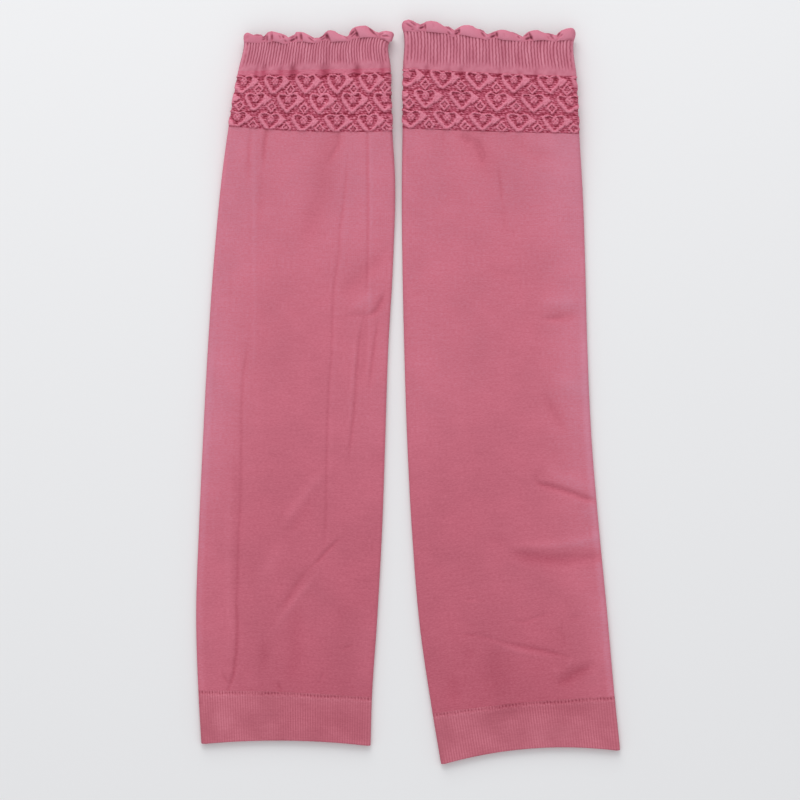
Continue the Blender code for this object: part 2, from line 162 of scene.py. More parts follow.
# %% [markdown]
# ## One wall for every stretch
#
# Each stretch is a flattened tube with a real wall. The grid that makes it is a ring in both directions: its
# columns go over the front, round the right fold, back underneath and round the left fold, and its rows go
# down the outside, round the edge of the cloth and back up the inside. So the mesh is closed, with no poles,
# and its faces all point outwards. A Solidify modifier would do the same with twice the points, because it
# would carry every small rib and heart to the inside, where nobody sees them.

# %% Columns once round the tube
GIRTH_FRONT = 95.6
GIRTH_FOLD = 5.0
GIRTH = 2 * (GIRTH_FRONT + GIRTH_FOLD)
FOLD_COLUMNS = 10

Columns = namedtuple("Columns", "across turn girth")


def columns_round(front, under):
    """Places round the tube: share across, turn of the outward direction, and millimetres of girth.

    The turn is 0 on the front and half a circle underneath. Girth is measured on a sleeve of common width,
    from the left end of the front, so that a rib or a heart has one girth all the way down.
    """
    step = np.arange(1, FOLD_COLUMNS) / FOLD_COLUMNS
    over, below = np.linspace(0, 1, front), np.linspace(1, 0, under)
    across = np.concatenate([over, 1 + 0 * step, below, 0 * step])
    turn = np.pi * np.concatenate([0 * over, step, 1 + 0 * below, 1 + step])
    back = GIRTH_FRONT + GIRTH_FOLD
    girth = np.concatenate(
        [
            over * GIRTH_FRONT,
            GIRTH_FRONT + step * GIRTH_FOLD,
            back + (1 - below) * GIRTH_FRONT,
            back + GIRTH_FRONT + step * GIRTH_FOLD,
        ]
    )
    return Columns(across, turn, girth)


def facing_up(columns):
    """1 over the front, 0 underneath, and the upward part of the outward direction round the fold."""
    return np.clip(np.cos(columns.turn), 0, 1)


def upper_share(columns):
    """1 over the front, 0 underneath, and a half at the fold."""
    return (1 + np.cos(columns.turn)) / 2


print("girth of a sleeve of common width:", GIRTH, "mm")

# %% Rows down the outside and back up the inside
RIM_ROWS = 5
RIM_RADIUS = 0.45
INSIDE_ROWS = 8

Rows = namedtuple("Rows", "down depth")


def rows_round(downs, round_top, round_bottom):
    """Rows as a distance down the sleeve and a depth into the wall, from 0 outside to 1 inside.

    A free edge is a half circle from outside to inside. An edge that meets the next stretch is square.
    """
    bend = np.pi * np.arange(1, RIM_ROWS + 1) / (RIM_ROWS + 1)
    inside = np.linspace(downs[-1], downs[0], INSIDE_ROWS)
    down, depth = [downs], [0 * downs]
    if round_bottom:
        down.append(downs[-1] + RIM_RADIUS * np.sin(bend))
        depth.append((1 - np.cos(bend)) / 2)
    down.append(inside)
    depth.append(1 + 0 * inside)
    if round_top:
        down.append(downs[0] - RIM_RADIUS * np.sin(bend))
        depth.append((1 + np.cos(bend)) / 2)
    return Rows(np.concatenate(down), np.concatenate(depth))


# %% The wall as a mesh
def add_mesh(name, points, tone, cloth_uv, square_rows):
    """A grid of points, closed in both directions, as a mesh of four-sided faces.

    tone goes into an attribute, the place on the cloth into the UV map, and the edges along the square rows
    are marked sharp.
    """
    rows, columns = points.shape[:2]
    row, column = np.meshgrid(np.arange(rows), np.arange(columns), indexing="ij")
    steps = ((0, 0), (1, 0), (1, 1), (0, 1))
    faces = np.stack([(row + r) % rows * columns + (column + c) % columns for r, c in steps], axis=-1)
    uv = np.stack([cloth_uv[row + r, column + c] for r, c in steps], axis=2)

    mesh = bpy.data.meshes.new(name)
    mesh.vertices.add(rows * columns)
    mesh.vertices.foreach_set("co", (points * MM).ravel())
    mesh.loops.add(faces.size)
    mesh.loops.foreach_set("vertex_index", faces.ravel())
    mesh.polygons.add(rows * columns)
    mesh.polygons.foreach_set("loop_start", np.arange(0, faces.size, 4))
    mesh.update(calc_edges=True)
    mesh.shade_smooth()

    mesh.attributes.new("tone", "FLOAT", "POINT").data.foreach_set("value", tone.ravel())
    mesh.uv_layers.new(name="cloth").data.foreach_set("uv", uv.ravel())
    ends = np.empty(len(mesh.edges) * 2, int)
    mesh.edges.foreach_get("vertices", ends)
    edge_rows = ends.reshape(-1, 2) // columns
    sharp = (edge_rows[:, 0] == edge_rows[:, 1]) & np.isin(edge_rows[:, 0], square_rows)
    mesh.attributes.new("sharp_edge", "BOOLEAN", "EDGE").data.foreach_set("value", sharp)

    piece = bpy.data.objects.new(name, mesh)
    bpy.context.scene.collection.objects.link(piece)
    return piece


UNDER_RELIEF = 0.5


def flat_height(down):
    """Height of the flat cloth: the thick knits at the top stand a little taller, and the rest falls off."""
    return FLAT_HEIGHT + THICK_BODY + (THICK_TOP - THICK_BODY) * (1 - fade_between(down, *THICK_FADE))


def add_tube(
    name, sleeve, downs, columns, relief, tallest,
    round_top=False, round_bottom=False, top_shift=0.0, foot_shift=0.0,
):
    """A stretch of the sleeve: outside points pushed out by the relief, over a plain inside.

    relief(down, columns, flat) gives millimetres outwards and a tone, both for every point of the outside.
    tallest is the height of its ridges, so that those underneath just touch the table. top_shift moves the
    top of each column in X and Y, foot_shift moves its foot, and the rest follows in proportion.
    """
    rows = rows_round(downs, round_top, round_bottom)
    down, depth = rows.down[:, None], rows.depth[:, None, None]
    across, turn = columns.across[None], columns.turn[None]
    up, out = np.cos(turn), np.sin(turn)
    ground = UNDER_RELIEF * tallest
    height = flat_height(down)
    middle, half = (height + ground) / 2, (height - ground) / 2
    share = ((down - downs[0]) / (downs[-1] - downs[0]))[..., None]
    shift = (1 - share) * top_shift + share * foot_shift

    flat, sideways = place(sleeve, down, across, out * FOLD_REACH)
    flat = flat + shift
    raised, tone = relief(np.clip(down, downs[0], downs[-1]) + 0 * across, columns, flat)
    raised = raised * (UNDER_RELIEF + (1 - UNDER_RELIEF) * np.clip(up, 0, 1))
    outside = np.concatenate([flat, (middle + half * up)[..., None]], axis=-1)
    outside[..., :2] += (out * raised)[..., None] * sideways
    outside[..., 2] += up * raised

    flat, _ = place(sleeve, down, across, out * (FOLD_REACH - WALL))
    flat = flat + shift
    inside = np.concatenate([flat, (height / 2 + (height / 2 - WALL) * up)[..., None]], axis=-1)
    points = outside + (inside - outside) * depth

    around = np.append(columns.girth, GIRTH) * MM
    length = np.append(rows.down, rows.down[0]) * MM
    cloth_uv = np.stack(np.meshgrid(around, length), axis=-1)
    last = len(downs) - 1
    square_rows = [] if round_top else [0, len(rows.down) - 1]
    square_rows += [] if round_bottom else [last, last + 1]
    return add_mesh(name, points, tone, cloth_uv, square_rows)


print("a rim turns over", 2 * RIM_RADIUS, "mm of cloth edge")

# %% [markdown]
# ## Creases
#
# A sleeve that was folded for its packet keeps long press lines down its length, and short creases where the
# arm bends. Each crease is one line in a table: half its width, its height, with troughs negative, and the
# points that it passes through. They are listed one by one, because a simulation would put its folds
# elsewhere.

# %% One soft crease
FADE_LENGTH = 14.0
FADE_SHARE = 0.38
END_WIDTH = 0.6

Crease = namedtuple("Crease", "half_width height path")


def creases_of(*rows):
    """Creases from rows that hold half a width, a height and the points of the path."""
    return [Crease(half_width, height, path) for half_width, height, *path in rows]


def crease_height(flat, creases):
    """Height of all creases at each point, summed.

    Each falls off from its line as a bell, exp of minus the squared distance over the squared half width, and
    fades and narrows to END_WIDTH over its last FADE_LENGTH, or over FADE_SHARE of a short one, so that it
    rises out of the cloth and sinks back into it.
    """
    total = np.zeros(flat.shape[:-1])
    for crease in creases:
        path = np.array(crease.path)
        margin = 3 * crease.half_width
        low, high = path.min(axis=0) - margin, path.max(axis=0) + margin
        near = ((flat > low) & (flat < high)).all(axis=-1)
        points = flat[near]
        step = np.diff(path, axis=0)
        lengths = np.linalg.norm(step, axis=1)
        share = ((points[:, None] - path[:-1]) * step).sum(axis=-1) / lengths**2
        share = np.clip(share, 0, 1)
        distance = np.linalg.norm(points[:, None] - path[:-1] - share[..., None] * step, axis=-1)
        nearest = distance.argmin(axis=1)
        every = np.arange(len(points))
        along = (np.cumsum(lengths) - lengths)[nearest] + share[every, nearest] * lengths[nearest]
        length = lengths.sum()
        from_end = np.minimum(along, length - along)
        fade = fade_between(from_end, -0.05 * length, min(FADE_SHARE * length, FADE_LENGTH))
        half_width = crease.half_width * (END_WIDTH + (1 - END_WIDTH) * fade)
        bell = np.exp(-((distance[every, nearest] / half_width) ** 2))
        total[near] += crease.height * fade * bell
    return total


def ripple(a, b, seed):
    """Smooth uneven values from -1 to 1: a sum of five waves whose directions and starts follow the seed."""
    number = np.arange(1, 6)
    direction = 2.4 * number + 1.7 * seed
    pace = 0.6 + 0.35 * number
    start = 5.1 * number * seed
    waves = np.sin((a[..., None] * np.cos(direction) + b[..., None] * np.sin(direction)) * pace + start)
    return waves.mean(axis=-1) * 1.6


print("a long crease fades in over", FADE_LENGTH, "mm")

# %% [markdown]
# ## The plain stretch
#
# Fine plain jersey with a little stretch yarn in it. It covers the arm, and it is the calmest part, so its
# creases and its wide soft swells carry the look. The underside lies on the table, and has only shallow
# hollows, as the cloth there is pressed flat by what lies on it.

# %% Creases of the left sleeve
LEFT_CREASES = creases_of(
    # Long thin trough right of the middle
    (0.8, -0.34, (-33.9, 131.0), (-34.6, 120.1), (-36.0, 106.1), (-38.1, 92.1), (-38.8, 76.7),
     (-40.2, 68.3), (-42.0, 54.3), (-42.6, 31.9), (-43.0, 17.9), (-44.4, 3.9), (-45.1, -15.7),
     (-45.4, -25.5), (-45.8, -45.1), (-45.8, -60.5), (-46.5, -77.3), (-47.0, -85.7)),
    # Its light side
    (1.4, 0.12, (-33.0, 107.5), (-36.4, 76.7), (-40.3, 40.3), (-42.0, 3.9), (-43.1, -26.9),
     (-43.7, -60.5)),
    # Sharp start of the hollow under the hearts
    (1.2, -0.4, (-38.4, 149.5), (-38.8, 143.9), (-39.2, 138.3), (-43.1, 131.0), (-45.9, 125.4)),
    # Broad soft hollow under the hearts
    (6.6, -0.38, (-40.3, 151.2), (-41.6, 141.1), (-46.5, 125.7), (-47.9, 111.7), (-52.1, 100.5),
     (-55.6, 90.7), (-60.5, 79.5)),
    # Press line near the right edge
    (0.9, -0.45, (-22.7, 151.2), (-22.7, 135.5), (-22.4, 110.3), (-22.4, 82.3), (-22.7, 65.5),
     (-23.5, 51.5)),
    # Its light side
    (1.3, 0.25, (-21.1, 151.2), (-20.8, 110.3), (-21.3, 82.3), (-21.6, 62.7), (-21.3, 40.3),
     (-22.2, 12.3)),
    # Light line on the left
    (1.1, 0.22, (-85.8, 147.8), (-86.0, 110.3), (-86.0, 73.9), (-85.7, 40.3), (-86.4, 11.2)),
    # Dark line left of it
    (1.2, -0.35, (-87.6, 151.2), (-88.8, 138.3), (-89.4, 127.1), (-89.9, 113.1)),
    # Short tuck under the hearts
    (1.1, -0.65, (-77.6, 153.6), (-79.4, 143.9), (-80.5, 136.6), (-80.9, 124.0)),
    # Soft line below the tuck
    (1.6, -0.22, (-81.2, 129.9), (-82.0, 115.9), (-82.9, 99.1), (-83.6, 87.9)),
    # Thin line at the left edge
    (0.8, -0.2, (-99.4, 70.0), (-99.2, 54.3), (-99.7, 42.0)),
    # Left press line, upper
    (0.9, -0.4, (-89.7, 27.4), (-90.7, 17.9), (-92.2, 10.9), (-92.8, 1.1), (-93.4, -15.7),
     (-93.2, -26.9), (-93.4, -43.7), (-93.6, -60.5), (-94.6, -74.5), (-95.3, -94.1), (-95.6, -116.5)),
    # Flat ribbon beside it
    (2.2, -0.18, (-95.8, -35.3), (-96.2, -60.5), (-96.6, -82.9), (-96.4, -105.3), (-96.0, -122.1)),
    # Left press line, lower
    (0.9, -0.6, (-96.2, -110.9), (-96.0, -120.7), (-95.5, -130.5), (-96.0, -145.9), (-97.6, -157.1),
     (-100.5, -166.3), (-101.9, -172.5)),
    # Light side of the press line
    (2.5, 0.2, (-99.7, -49.3), (-100.8, -94.1), (-99.7, -138.9), (-101.9, -152.9)),
    # Fold towards the right edge
    (3.0, 0.35, (-33.0, 45.9), (-28.6, 48.2), (-23.5, 51.5), (-19.0, 57.1)),
    # Dark end of the fold
    (1.7, -0.75, (-12.4, 57.6), (-15.1, 50.8), (-17.4, 46.0), (-20.7, 43.2), (-25.0, 41.4)),
    # Dark edge under the fold
    (1.1, -0.2, (-18.0, 44.2), (-25.5, 43.0), (-32.5, 42.8), (-38.6, 41.6)),
    # Soft shade above the fold
    (4.0, -0.34, (-8.5, 83.0), (-18.5, 72.5), (-26.9, 64.1), (-34.2, 57.5), (-41.0, 53.0)),
    # Line down from the fold
    (0.9, -0.52, (-16.0, 44.2), (-17.1, 37.5), (-18.5, 29.1), (-19.9, 17.9), (-21.3, 6.7), (-22.4, -1.7)),
    # Edge below the fold, dark side
    (0.85, -0.48, (-24.6, 43.0), (-26.9, 31.9), (-28.3, 17.9), (-29.7, -1.7), (-30.4, -12.9),
     (-31.4, -21.3), (-32.5, -29.7), (-33.4, -39.2)),
    # Edge below the fold, light side
    (1.2, 0.2, (-29.1, 31.9), (-30.5, 15.1), (-31.9, -4.5), (-33.0, -21.3)),
    # Soft band between the two
    (2.8, -0.3, (-22.6, 44.0), (-23.5, 29.1), (-25.5, 14.0), (-27.5, 0.0)),
    # Soft hollow at the right edge
    (6.0, -0.2, (-20.7, -31.4), (-15.7, -38.1), (-12.3, -43.7)),
    # Broad ridge across the forearm, upper
    (3.0, 0.32, (-45.9, -42.0), (-47.9, -45.1), (-54.9, -53.5), (-63.3, -64.7), (-67.2, -70.6),
     (-71.7, -77.3)),
    # Broad ridge across the forearm, lower
    (4.0, 0.24, (-67.2, -81.8), (-75.9, -94.1), (-81.5, -105.3), (-85.7, -112.0)),
    # Soft shade beside the ridge
    (3.0, -0.2, (-52.1, -56.0), (-57.7, -65.0), (-64.4, -75.6), (-70.0, -82.9)),
    # Sharp crease across the forearm
    (0.85, -0.55, (-34.2, -80.6), (-39.5, -82.9), (-43.7, -87.1), (-46.5, -89.9), (-50.0, -94.1),
     (-54.2, -97.6), (-57.1, -100.2)),
    # Its soft end
    (2.0, -0.38, (-53.8, -95.8), (-61.9, -107.0), (-66.1, -113.7), (-70.3, -119.3), (-75.6, -123.2)),
    # Ridge under it
    (1.8, 0.32, (-49.3, -99.7), (-56.3, -108.1), (-61.9, -115.1), (-66.1, -120.7), (-71.7, -128.2),
     (-77.3, -136.6)),
    # Soft hollow at the wrist, right
    (4.6, -0.30, (-61.0, -116.5), (-62.7, -127.7), (-63.3, -141.7), (-65.0, -155.7), (-66.6, -166.9)),
    # Soft hollow at the wrist, left
    (3.0, -0.3, (-79.5, -134.4), (-80.4, -143.4), (-80.9, -151.2), (-81.8, -159.0)),
    # Small hollow at the cuff
    (1.2, -0.4, (-73.9, -161.3), (-72.2, -164.6), (-70.6, -169.1)),
    # Thin mark by the wrist
    (0.8, -0.3, (-30.8, -140.8), (-34.2, -142.8), (-38.1, -144.8)),
    # Thin slant near the cuff
    (0.8, -0.25, (-46.5, -155.1), (-48.7, -159.6), (-51.0, -165.2)),
    # Slant at the left of the wrist
    (0.9, -0.3, (-104.7, -156.2), (-102.5, -160.2), (-99.7, -164.6)),
    # Light patch at the left of the wrist
    (3.0, 0.2, (-88.5, -155.7), (-87.4, -166.9)),
    # Wide shade on the right of the forearm
    (11.0, -0.12, (-20.2, -72.9), (-24.1, -95.3), (-31.4, -112.7), (-38.3, -134.5)),
    # Light swell at the right of the wrist
    (8.0, 0.24, (-20.0, -124.0), (-22.0, -146.0), (-25.0, -170.0)),
)
print("left sleeve:", len(LEFT_CREASES), "creases")

# %% Creases of the right sleeve
RIGHT_CREASES = creases_of(
    # Dent under the hearts, upper end
    (2.6, -0.42, (28.6, 144.5), (32.5, 141.1), (37.0, 138.9)),
    # Dent under the hearts
    (2.0, -0.7, (36.4, 142.2), (39.2, 138.3), (41.2, 132.7), (42.0, 125.4)),
    # Soft shade round the dent
    (6.5, -0.3, (27.0, 147.0), (38.1, 138.2), (44.0, 127.1), (50.0, 117.0)),
    # Press line below it
    (0.8, -0.42, (50.4, 128.8), (51.0, 121.5), (51.7, 115.9), (52.6, 107.5), (52.9, 103.0)),
    # Soft end of the press line
    (1.8, -0.2, (52.9, 107.5), (53.8, 97.4), (54.3, 86.2)),
    # Its light side
    (2.0, 0.15, (55.2, 121.0), (56.0, 114.2), (56.6, 109.8)),
    # Faint line on the left
    (0.8, -0.25, (19.6, 150.1), (19.6, 141.1), (19.6, 132.7)),
    # Soft slant under the hearts
    (4.5, -0.25, (53.2, 145.0), (62.7, 137.8), (71.7, 132.2), (85.1, 131.0)),
    # Faint line at the left fold
    (1.0, -0.2, (-0.3, 135.5), (0.0, 129.9), (0.6, 121.5)),
    # Faint slant
    (2.5, -0.2, (43.1, 71.1), (51.5, 67.2), (61.6, 63.8)),
    # Spot above the elbow
    (1.5, -0.4, (73.6, 41.6), (79.5, 41.2), (84.0, 41.3), (89.4, 42.2)),
    # Soft shade round the spot
    (3.5, -0.3, (76.7, 42.0), (85.1, 41.6), (97.0, 43.2)),
    # Its light top
    (4.2, 0.34, (72.0, 48.6), (80.0, 50.0), (88.0, 50.6), (98.0, 50.0)),
    # Soft slant on the right
    (3.0, -0.42, (74.5, 1.5), (79.5, -6.6), (83.0, -13.0), (86.5, -20.0), (88.6, -25.0)),
    # Light swell on the right
    (5.0, 0.3, (81.0, 7.5), (88.0, 5.0), (96.3, 2.0), (104.0, -1.0)),
    # Ridge above the elbow fold
    (4.0, 0.3, (74.5, -39.2), (82.9, -47.0), (93.5, -50.4), (103.0, -53.2)),
    # Elbow fold
    (1.7, -0.8, (71.1, -43.7), (71.8, -49.3), (73.9, -51.5), (79.5, -52.9), (85.1, -54.3), (93.5, -57.1),
     (99.1, -59.4), (105.3, -61.0), (110.9, -63.3)),
    # Light swell under the elbow fold
    (4.0, 0.2, (96.3, -66.1), (106.4, -68.3)),
    # Ridge above the long trough
    (2.8, 0.4, (58.2, -87.1), (68.3, -86.5), (76.7, -86.2), (86.5, -85.4), (99.1, -83.4), (107.5, -80.1),
     (114.2, -78.4)),
    # Long trough
    (4.1, -0.8, (54.9, -89.6), (62.7, -91.0), (69.7, -92.2), (78.1, -93.4), (86.5, -93.6), (94.6, -93.0),
     (101.9, -92.4), (108.6, -91.8), (115.9, -91.6), (124.0, -91.6)),
    # Soft start of the trough
    (3.0, -0.2, (43.1, -80.6), (50.4, -82.9), (57.1, -86.8)),
    # Light nick
    (0.6, 0.2, (29.7, -117.9), (35.8, -117.9), (43.7, -118.2)),
    # Dark line above the nick
    (0.7, -0.2, (31.4, -116.2), (38.1, -115.9)),
    # Thin crease
    (0.9, -0.28, (53.2, -126.6), (59.4, -128.0), (65.5, -128.5), (73.9, -125.4), (82.9, -122.9)),
    # Left part of the wrist crease
    (1.0, -0.25, (24.6, -136.1), (33.6, -135.6), (42.0, -136.4), (48.2, -138.4), (56.0, -140.6)),
    # Wrist crease
    (1.4, -0.42, (50.4, -139.4), (62.7, -142.2), (73.9, -144.2), (86.5, -147.3), (93.5, -149.6)),
    # Ridge under the wrist crease
    (1.4, 0.28, (44.8, -139.7), (53.2, -142.5), (59.9, -145.0), (73.9, -147.8), (80.6, -149.0)),
    # Bent line at the wrist
    (1.3, -0.25, (86.5, -128.2), (85.1, -133.3), (87.2, -137.8), (87.9, -143.4)),
    # Soft hollow right of it
    (3.0, -0.2, (93.0, -123.2), (94.6, -128.8)),
    # Short soft crease above the cuff
    (3.3, -0.7, (81.5, -164.6), (89.3, -160.4), (94.9, -157.0), (101.4, -153.7), (106.4, -151.2)),
    # Light spot above it
    (2.6, 0.25, (89.0, -150.6), (92.4, -151.8)),
    # Light swell along the right edge
    (6.5, 0.24, (104.0, -112.0), (108.0, -134.0), (110.0, -162.0)),
    # Light line at its left
    (1.8, 0.22, (79.0, -154.0), (82.9, -156.8), (85.1, -159.0)),
    # Light line under it
    (2.0, 0.15, (101.9, -159.0), (106.4, -157.9)),
    # Soft hollow down to the cuff
    (7.5, -0.26, (46.0, -142.0), (49.0, -154.3), (51.0, -164.1), (52.0, -174.0)),
    # Soft shade left of it
    (5.0, -0.2, (30.2, -144.5), (37.5, -147.3)),
    # Soft hollow on the left of the cuff
    (3.6, -0.25, (23.0, -154.6), (25.8, -166.9), (28.6, -177.0)),
    # Thin light line at the left of the wrist
    (0.7, 0.18, (22.4, -134.4), (23.2, -143.4), (23.8, -152.3)),
)
print("right sleeve:", len(RIGHT_CREASES), "creases")

# %% The plain stretch
BODY_ROWS = 340
BODY_COLUMNS = (160, 40)
# Widths in mm of the painted sheen over the outer side and of the painted highlight along the outer fold
OUTER_SHEEN_WIDTH = 30.0
RIM_HIGHLIGHT_WIDTH = 3.0

UNDER_CREASES = creases_of(
    (2.0, -0.35, (-20.0, 118.0), (-14.0, 62.0), (-16.0, 8.0)),
    (1.8, -0.30, (26.0, 52.0), (22.0, -20.0), (24.0, -84.0)),
    (3.0, -0.40, (-34.0, -52.0), (-8.0, -66.0), (12.0, -60.0)),
    (2.6, -0.40, (-26.0, -118.0), (-2.0, -126.0), (24.0, -120.0)),
)


def body_relief(creases, centre_x, outer_sheen, rim):
    """Relief of the plain stretch: creases and wide swells on the front, shallow hollows underneath.

    The tone carries painted shade in the troughs and painted light on the ridges and swells. It falls slowly
    towards the wrist as painted shade, and it is paler over the outer third as a painted sheen, and in a
    narrow line along the outer fold as a painted highlight.
    """

    def outer_fold(columns):
        return columns.across * GIRTH_FRONT if centre_x < 0 else (1 - columns.across) * GIRTH_FRONT

    def relief(down, columns, flat):
        top = facing_up(columns)
        below = np.clip(-np.cos(columns.turn), 0, 1)
        swell = 0.16 * ripple(flat[..., 0] / 26, flat[..., 1] / 44, 1.3)
        front = np.clip(crease_height(flat, creases) + swell, -0.8, 1.2)
        hollow = crease_height(flat - (centre_x, 0), UNDER_CREASES) * 2
        hollow = np.clip(hollow - 0.12 * (1 + ripple(flat[..., 0] / 20, flat[..., 1] / 36, 2.1)), -0.9, 0)
        raised = top * front + below * hollow
        # Painted shade that deepens slowly towards the wrist
        wrist_shade = 0.15 - 0.58 * fade_between(down, 40, 420)
        # Painted sheen over the outer third of the front, weaker near the top
        pale = outer_sheen * (1 - fade_between(outer_fold(columns), 0, OUTER_SHEEN_WIDTH)) * top
        pale = pale * (0.65 + 0.45 * fade_between(down, 80, 200))
        # Painted highlight in a narrow line along the outer fold
        line = rim * (1 - fade_between(outer_fold(columns), 0, RIM_HIGHLIGHT_WIDTH)) * fade_between(down, 100, 220)
        # Half the relief goes into the tone: painted shade in creases and hollows, painted light on ridges
        # and swells
        return raised, np.clip(raised / 2 + wrist_shade + pale + line, -1, 1)

    return relief


def add_body(name, sleeve, creases, centre_x, outer_sheen, rim):
    downs = rows_between(sleeve, "body_top", "cuff_top", BODY_ROWS)
    relief = body_relief(creases, centre_x, outer_sheen, rim)
    return add_tube(name, sleeve, downs, columns_round(*BODY_COLUMNS), relief, 0.0)


# The last two numbers set the painted sheen over the outer side and the painted highlight along the outer
# fold
left_body = add_body("left_plain_stretch", LEFT_SLEEVE, LEFT_CREASES, -60.0, outer_sheen=0.2, rim=0.2)
right_body = add_body("right_plain_stretch", RIGHT_SLEEVE, RIGHT_CREASES, 52.0, outer_sheen=0.25, rim=0.3)
print("plain stretches:", len(left_body.data.polygons), "faces each")

# %% [markdown]
# ## Two uneven lines at the top
#
# The free edge of the frill is a scalloped line, and the seam under it is pulled down where the frill is
# caught. Both are tables of points along the front, from the left fold to the right one. The frill and the
# ribs share the seam, so that they always meet.

# %% Edge and seam of the two frills
LEFT_EDGE = (
    (-91.8, 200.4), (-91.4, 201.1), (-89.4, 201.1), (-87.5, 200.3), (-86.4, 199.9), (-84.5, 200.3),
    (-82.0, 200.1), (-80.8, 199.1), (-79.8, 200.0), (-78.5, 201.2), (-76.2, 201.9), (-74.0, 201.4),
    (-71.7, 200.8), (-69.5, 200.1), (-68.0, 199.5), (-67.0, 198.6), (-65.9, 199.1), (-64.6, 199.7),
    (-63.3, 200.3), (-62.7, 201.4), (-60.9, 201.5), (-58.6, 201.3), (-56.3, 200.3), (-54.1, 199.2),
    (-51.9, 198.0), (-50.0, 198.5), (-48.1, 199.5), (-46.5, 201.1), (-45.1, 202.2), (-43.3, 202.4),
    (-41.0, 201.8), (-39.1, 200.6), (-36.5, 199.7), (-34.3, 199.2), (-33.3, 199.9), (-32.8, 201.4),
    (-31.3, 203.2), (-29.4, 204.2), (-26.8, 204.7), (-23.8, 204.9), (-22.3, 204.2), (-20.4, 203.1),
    (-18.5, 201.9), (-16.6, 201.4), (-14.8, 201.9), (-12.5, 202.2), (-10.3, 201.8), (-9.1, 200.6),
    (-8.4, 199.1),
)
LEFT_SEAM = (
    (-91.4, 195.4), (-87.5, 195.0), (-83.7, 194.8), (-80.0, 195.4), (-78.1, 195.0), (-75.5, 195.9),
    (-72.5, 195.4), (-69.8, 194.4), (-67.6, 194.5), (-65.0, 195.6), (-62.0, 195.4), (-59.0, 195.8),
    (-55.6, 195.1), (-52.2, 194.8), (-50.7, 194.8), (-48.1, 196.2), (-44.8, 196.3), (-42.5, 195.4),
    (-39.5, 195.7), (-36.5, 195.7), (-33.2, 195.8), (-30.5, 197.2), (-27.9, 197.5), (-24.9, 198.0),
    (-21.2, 198.0), (-18.1, 197.9), (-16.3, 197.5), (-14.4, 196.7), (-12.2, 195.5), (-10.3, 194.7),
)
RIGHT_EDGE = (
    (-3.1, 206.4), (-1.7, 207.7), (0.4, 208.3), (2.9, 207.6), (4.7, 206.6), (6.8, 205.9),
    (8.5, 206.4), (10.4, 207.3), (13.0, 207.6), (16.0, 207.1), (18.2, 206.0), (20.3, 204.7),
    (22.7, 204.6), (24.6, 203.4), (25.8, 202.7), (27.2, 203.5), (29.1, 204.6), (31.4, 205.2),
    (34.0, 205.2), (36.2, 204.7), (38.1, 203.4), (40.0, 203.1), (42.2, 202.3), (43.3, 201.0),
    (44.5, 200.4), (46.0, 201.0), (48.2, 201.9), (49.8, 202.4), (51.9, 202.7), (54.5, 202.5),
    (56.8, 201.7), (58.7, 201.4), (60.9, 200.6), (62.8, 199.6), (64.1, 199.1), (65.4, 200.4),
    (67.3, 201.7), (69.9, 202.3), (72.2, 202.5), (74.4, 201.7), (76.3, 201.0), (78.6, 200.9),
    (80.4, 200.5), (81.8, 199.9), (82.9, 199.9), (83.8, 201.0), (85.7, 202.3), (88.3, 203.2),
    (90.9, 203.6), (92.2, 203.4), (93.0, 202.3),
)
RIGHT_SEAM = (
    (-2.8, 201.5), (0.0, 201.4), (4.7, 201.0), (7.7, 201.6), (10.4, 201.2), (15.2, 200.8),
    (19.7, 200.3), (22.3, 199.8), (24.6, 197.8), (26.5, 198.9), (28.7, 199.5), (32.1, 199.1),
    (35.8, 198.2), (39.6, 197.6), (41.7, 197.2), (43.7, 196.4), (46.4, 197.3), (49.0, 197.7),
    (53.4, 196.5), (57.2, 196.3), (60.9, 196.0), (63.9, 195.3), (66.9, 196.2), (70.3, 195.9),
    (72.2, 196.4), (75.9, 196.5), (79.7, 196.1), (81.9, 195.4), (84.6, 196.3), (89.0, 196.4),
    (92.8, 196.8),
)
print("edge points:", len(LEFT_EDGE), "and", len(RIGHT_EDGE))

# %% [markdown]
# ## The ribs
#
# The ribbed band grips the upper arm: about a hundred narrow ribs, which stand close at the top and fade out
# in a smooth strip above the hearts. Each rib is a rounded ridge with a sharp valley, made by one wave in
# the girth. A cylinder for each rib would look harder, and would not fade.

# %% The ribbed band
RIBS_ROUND = 105
RIB_HEIGHT = 0.5
RIB_ROWS = 40
RIB_COLUMNS = (401, 301)


def rib_relief(sleeve, puckers):
    """Relief of the ribs: the root of half a sine between two valleys, waved a little, faded at the foot."""
    top, foot = distance_to(sleeve, "rib_top"), distance_to(sleeve, "hearts_top")

    def relief(down, columns, flat):
        share = (down - top) / (foot - top)
        girth = columns.girth + 0 * down
        sway = 0.12 * ripple(girth / 2.4, down / 5.5, 1.9) + 0.07 * ripple(girth / 1.1, down / 0.7, 3.7)
        phase = (girth / GIRTH * RIBS_ROUND + sway) % 1
        rib = np.sin(np.pi * phase) ** 0.8
        strength = 1 - fade_between(share + 0.06 * ripple(girth / 5, 0 * girth, 3.3), 0.70, 0.92)
        uneven = 0.86 + 0.2 * ripple(girth / 1.5, down / 5, 4.2)
        smooth = 0.72 + 0.12 * ripple(girth / 1.2, down / 1.2, 0.7)
        height = rib * strength * uneven + smooth * (1 - strength)
        dent = crease_height(flat, puckers) * facing_up(columns)
        contrast = 1 - 0.3 * share
        # Tone: painted shade in the valleys and painted light on the crests, weaker lower down, and painted
        # shade in the puckers
        return RIB_HEIGHT * height + dent, np.clip((2 * height - 1) * contrast + 1.2 * dent, -1, 1)

    return relief


PUCKER_REACH = np.array([-4.5, 1.0, 6.5])
PUCKER_HALF_WIDTH = 2.0
PUCKER_HEIGHT = -0.52


def puckers_over(sleeve, *places):
    """Short troughs in the strip above the hearts, one at each share across, wider towards the hearts."""
    foot = distance_to(sleeve, "hearts_top")
    troughs = []
    for across, size in places:
        points, _ = place(sleeve, foot + PUCKER_REACH, across)
        troughs.append(Crease(PUCKER_HALF_WIDTH * size, PUCKER_HEIGHT * size, points))
    return troughs


